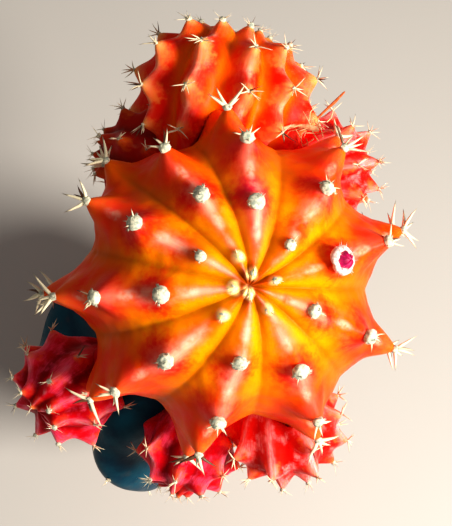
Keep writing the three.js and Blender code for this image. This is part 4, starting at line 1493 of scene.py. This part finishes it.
# Radius and height, up the outside and the rim, and down the inside
POT_PROFILE = (
    (19.4, 0), (20.5, 1.1), (27.6, 42.3), (28.7, 43), (29.4, 43.7), (30, 54.9), (28.9, 56), (27.5, 56),
    (26.21, 54.9), (POT_INNER_BASE, POT_FLOOR),
)
POT_SIDES = 96
DRAIN_SIDES = 40
POT_ROUNDING = 0.45
POT_ROUNDING_FROM = 24
POT_SMOOTH_TO = 32
DUST_COLOUR = srgb(214, 156, 124)
SPECK_COLOUR = srgb(128, 62, 40)


def raise_pot():
    """The pot's shell, from a disc that is extruded along the profile."""
    start_piece()
    radius, height = POT_PROFILE[0]
    bpy.ops.mesh.primitive_circle_add(vertices=POT_SIDES, radius=radius * MM, fill_type="NGON")
    pot = bpy.context.object
    bpy.ops.object.mode_set(mode="EDIT")
    bpy.ops.mesh.select_all(action="SELECT")
    for next_radius, next_height in POT_PROFILE[1:]:
        rise = (next_height - height) * MM
        bpy.ops.mesh.extrude_region_move(TRANSFORM_OT_translate={"value": (0, 0, rise)})
        share = next_radius / radius
        bpy.ops.transform.resize(value=(share, share, 1), center_override=(0, 0, 0))
        radius, height = next_radius, next_height
    bpy.ops.object.mode_set(mode="OBJECT")
    face_outward(pot)
    return pot


def add_drill():
    """One object with a cylinder at each drain hole."""
    drains = []
    for angle in np.arange(DRAIN_COUNT) / DRAIN_COUNT * TURN:
        bpy.ops.mesh.primitive_cylinder_add(
            vertices=DRAIN_SIDES, radius=DRAIN_RADIUS * MM, depth=4 * POT_FLOOR * MM,
            location=tuple(around(DRAIN_CIRCLE * MM, angle, 0)))
        bpy.ops.object.transform_apply(location=True)
        drains.append(bpy.context.object)
    return join_all(drains)


def clay_material(clay):
    """Fired clay with pale dusty patches and dark specks."""
    shader = Shader("fired_clay")
    dusty = shader.blend(shader.patchy(14, 0.4, 0.7, 0.0, 0.6, detail=5), clay, DUST_COLOUR)
    speck = shader.patchy(0.7, 0.62, 0.72, 0.0, 0.5, detail=2)
    shader.bump((shader.noise(0.35, 4), 0.05), (shader.noise(5, 3), 0.08))
    return shader.surface(shader.blend(speck, dusty, SPECK_COLOUR), 0.88)


class MOONCACTUS_OT_pot(bpy.types.Operator):
    """Build the clay pot, drill its drain holes and round its edges"""

    bl_idname = "mooncactus.pot"
    bl_label = "Pot"

    def execute(self, context):
        pot = raise_pot()
        drill = add_drill()
        cut = pot.modifiers.new("drains", "BOOLEAN")
        cut.object = drill
        cut.solver = "EXACT"
        rounding = pot.modifiers.new("rounding", "BEVEL")
        rounding.width = POT_ROUNDING * MM
        rounding.segments = 3
        rounding.limit_method = "ANGLE"
        rounding.angle_limit = POT_ROUNDING_FROM * DEGREE
        start_piece()
        pot.select_set(True)
        context.view_layer.objects.active = pot
        bpy.ops.object.modifier_apply(modifier="drains")
        bpy.ops.object.modifier_apply(modifier="rounding")
        bpy.data.objects.remove(drill)
        bpy.ops.object.shade_smooth_by_angle(angle=POT_SMOOTH_TO * DEGREE)
        finish_piece(pot, "pot_shell", clay_material(context.scene.moon_cactus.stand.clay), ["pot"])
        return {"FINISHED"}


# Soil's surface and the loose crumbs on it
SOIL_COLUMNS = 108
SOIL_ROWS = 72
SOIL_TOP_ROWS = 52
SOIL_BASE_ROWS = 8
SOIL_MARGIN = 0.1
SOIL_EDGE = 1.2
SOIL_LUMPS = ((0.35, 6, 51), (0.2, 2.4, 52))
PERLITE_SHARE = 0.05
CRUMB_LEAST = 0.15
CRUMB_SPAN = 1.5
CRUMB_RISE = 0.35
CRUMB_CLEARANCE = 0.2
CRUMB_SQUASH = (0.6, 1.1)
CRUMB_LUMPS = (0.7, 1.25)
CRUMB_SEED = 64
SOIL_SHADE = srgb(34, 24, 18)
CRUMB_DARK = srgb(46, 32, 24)
CRUMB_PALE = srgb(104, 76, 52)
PERLITE_COLOUR = srgb(222, 216, 204)


def soil_material(soil):
    shader = Shader("potting_soil")
    colour = shader.blend(shader.patchy(2.5, 0.35, 0.7, detail=4), soil, SOIL_SHADE)
    shader.bump((shader.cells(1.6), 0.7), (shader.noise(0.5, 4), 0.2))
    return shader.surface(colour, 0.95)


def crumb_material():
    """Brown crumbs, each of its own tone, and white perlite here and there."""
    shader = Shader("crumbs")
    tone = shader.blend(shader.value("shade"), CRUMB_DARK, CRUMB_PALE)
    perlite = shader.between(shader.value("shade"), 1 - PERLITE_SHARE, 1.005 - PERLITE_SHARE)
    shader.bump((shader.noise(0.4, 4), 0.15))
    return shader.surface(shader.blend(perlite, tone, PERLITE_COLOUR), 0.95)


def crumb_template(draw):
    """An uneven lump with few faces."""
    start_piece()
    bpy.ops.mesh.primitive_ico_sphere_add(subdivisions=1, radius=1)
    crumb = bpy.context.object
    points = read_points(crumb)
    write_points(crumb, points * draw.uniform(*CRUMB_LUMPS, len(points))[:, None])
    return Template(crumb)


class MOONCACTUS_OT_soil(bpy.types.Operator):
    """Build the soil with loose crumbs on it"""

    bl_idname = "mooncactus.soil"
    bl_label = "Soil"

    def execute(self, context):
        stand = context.scene.moon_cactus.stand
        bed, row, column = add_globe(SOIL_COLUMNS, SOIL_ROWS)
        side = pot_inner_radius(SOIL_LEVEL) - SOIL_MARGIN
        base = POT_FLOOR + SEAT_GAP
        share = np.clip(row / SOIL_TOP_ROWS, 0, 1)
        down = np.clip((row - SOIL_TOP_ROWS) / (SOIL_ROWS - SOIL_TOP_ROWS - SOIL_BASE_ROWS), 0, 1)
        inward = np.clip((SOIL_ROWS - row) / SOIL_BASE_ROWS, 0, 1)
        flat = mix(side, pot_inner_radius(base) - SEAT_GAP, down) * share * inward
        points = around(flat, column / SOIL_COLUMNS * TURN, 0)
        top = soil_height(points[:, 0], points[:, 1]) + lumps(points, SOIL_LUMPS)
        top = mix(top, SOIL_LEVEL, np.exp((flat - side) / SOIL_EDGE))
        points[:, 2] = np.where(row <= SOIL_TOP_ROWS, top, mix(SOIL_LEVEL, base, down))
        write_points(bed, points * MM)
        finish_piece(bed, "soil_bed", soil_material(stand.soil), ["soil"])
        self.add_crumbs(stand.clods, side)
        return {"FINISHED"}

    def add_crumbs(self, count, side):
        draw = np.random.default_rng(CRUMB_SEED)
        template = crumb_template(draw)
        places = []
        while len(places) < count:
            size = CRUMB_LEAST + CRUMB_SPAN * draw.uniform(0.35, 1.0) ** 2
            far = side * math.sqrt(draw.random()) - size
            angle = draw.uniform(0, TURN)
            x, y = far * math.cos(angle), far * math.sin(angle)
            spot = np.array([x, y, soil_height(x, y) + CRUMB_RISE * size])
            if far < 0 or stock_holds(spot[None], CRUMB_CLEARANCE)[0]:
                continue
            sizes = size * draw.uniform(*CRUMB_SQUASH, 3)
            places.append(placement(spot, draw.normal(size=3), draw.uniform(0, 6), sizes))
        crumbs = add_copies(template, places, draw.random(len(places)))
        crumbs.data.shade_flat()
        finish_piece(crumbs, "soil_crumbs", crumb_material())


# Main light, seen from the camera: to the right, up and back, then its distance and size
KEY_DIRECTION = (0.74, -0.16, 0.66)
KEY_DISTANCE = 420
KEY_SIZE = 190
KEY_COLOUR = (1, 0.95, 0.88)
FILL_COLOUR = (1, 0.95, 0.92)
FLOOR_SIZE = 4
FLOOR_DROP = 0.0002
FLOOR_SHADE = srgb(172, 168, 162)


def floor_material(floor):
    shader = Shader("floor_paint")
    return shader.surface(shader.blend(shader.patchy(60, 0.3, 0.7, 0.0, 0.06), floor, FLOOR_SHADE), 0.6)


class MOONCACTUS_OT_stage(bpy.types.Operator):
    """Set up the camera, the studio light and the pale floor"""

    bl_idname = "mooncactus.stage"
    bl_label = "Studio"

    def execute(self, context):
        settings = context.scene.moon_cactus.studio
        side = unit(CAMERA_SIDE)
        tilt = CAMERA_TILT * DEGREE
        back = np.array([side[0] * math.sin(tilt), side[1] * math.sin(tilt), math.cos(tilt)])
        right = unit(np.array([back[2], 0, -back[0]]))
        view = np.stack([right, np.cross(back, right), back], 1)
        self.add_camera(context, view)
        self.add_key(context, view @ KEY_DIRECTION, settings.key_power)
        world = bpy.data.worlds.new("studio")
        context.scene.world = world
        world.use_nodes = True
        background = world.node_tree.nodes["Background"]
        background.inputs["Color"].default_value = (*FILL_COLOUR, 1)
        background.inputs["Strength"].default_value = settings.fill
        context.scene.view_settings.view_transform = "Standard"
        context.scene.view_settings.look = "Medium High Contrast"
        start_piece()
        bpy.ops.mesh.primitive_plane_add(size=FLOOR_SIZE, location=(0, 0, -FLOOR_DROP))
        floor = context.object
        floor.name = "floor"
        floor.data.materials.append(floor_material(settings.floor))
        return {"FINISHED"}

    def add_camera(self, context, view):
        """A camera that sees the head at its pixel of the photograph."""
        per_mm = FOCAL_PIXELS / CAMERA_DISTANCE
        across = (PHOTO_WIDTH / 2 - HEAD_PIXEL[0]) / per_mm
        above = (HEAD_PIXEL[1] - PHOTO_HEIGHT / 2) / per_mm
        lens = bpy.data.cameras.new("camera")
        lens.sensor_width = SENSOR
        lens.lens = SENSOR * FOCAL_PIXELS / PHOTO_HEIGHT
        lens.clip_start = 0.01
        camera = bpy.data.objects.new("camera", lens)
        matrix = np.eye(4)
        matrix[:3, :3] = view
        matrix[:3, 3] = (HEAD_CENTRE + view @ (across, above, CAMERA_DISTANCE)) * MM
        camera.matrix_world = Matrix(matrix.tolist())
        context.scene.collection.objects.link(camera)
        context.scene.camera = camera

    def add_key(self, context, direction, power):
        light = bpy.data.lights.new("key", "AREA")
        light.shape = "DISK"
        light.size = KEY_SIZE * MM
        light.energy = power
        light.color = KEY_COLOUR
        lamp = bpy.data.objects.new("key", light)
        lamp.location = Vector((HEAD_CENTRE + unit(direction) * KEY_DISTANCE) * MM)
        lamp.rotation_mode = "QUATERNION"
        lamp.rotation_quaternion = Vector(direction).to_track_quat("Z", "Y")
        context.scene.collection.objects.link(lamp)


OPERATORS = (
    MOONCACTUS_OT_stage, MOONCACTUS_OT_head, MOONCACTUS_OT_offsets, MOONCACTUS_OT_hair, MOONCACTUS_OT_bud,
    MOONCACTUS_OT_dried_flower, MOONCACTUS_OT_stock, MOONCACTUS_OT_pot, MOONCACTUS_OT_soil,
)


class MOONCACTUS_PT_panel(bpy.types.Panel):
    """Panel with a button for each step, and its settings"""

    bl_idname = "MOONCACTUS_PT_panel"
    bl_label = "Moon cactus"
    bl_space_type = "VIEW_3D"
    bl_region_type = "UI"
    bl_category = "Moon cactus"

    def draw(self, context):
        for operator in OPERATORS:
            self.layout.operator(operator.bl_idname)
        settings = context.scene.moon_cactus
        for group in MoonCactusSettings.__annotations__:
            box = self.layout.box()
            box.label(text=group.title())
            values = getattr(settings, group)
            for field in type(values).__annotations__:
                box.prop(values, field)


CLASSES = (
    MaroonFlesh, OrangeFlesh, CoralFlesh, ScarletFlesh, CrimsonFlesh, HeadSettings, HairSettings,
    StandSettings, StudioSettings, MoonCactusSettings, *OPERATORS, MOONCACTUS_PT_panel,
)


def register():
    for cls in CLASSES:
        bpy.utils.register_class(cls)
    bpy.types.Scene.moon_cactus = PointerProperty(type=MoonCactusSettings)


def unregister():
    del bpy.types.Scene.moon_cactus
    for cls in reversed(CLASSES):
        bpy.utils.unregister_class(cls)


def main():
    register()
    bpy.ops.mooncactus.stage()
    bpy.ops.mooncactus.head()
    bpy.ops.mooncactus.offsets()
    bpy.ops.mooncactus.hair()
    bpy.ops.mooncactus.bud()
    bpy.ops.mooncactus.dried_flower()
    bpy.ops.mooncactus.stock()
    bpy.ops.mooncactus.pot()
    bpy.ops.mooncactus.soil()


if __name__ == "__main__":
    main()
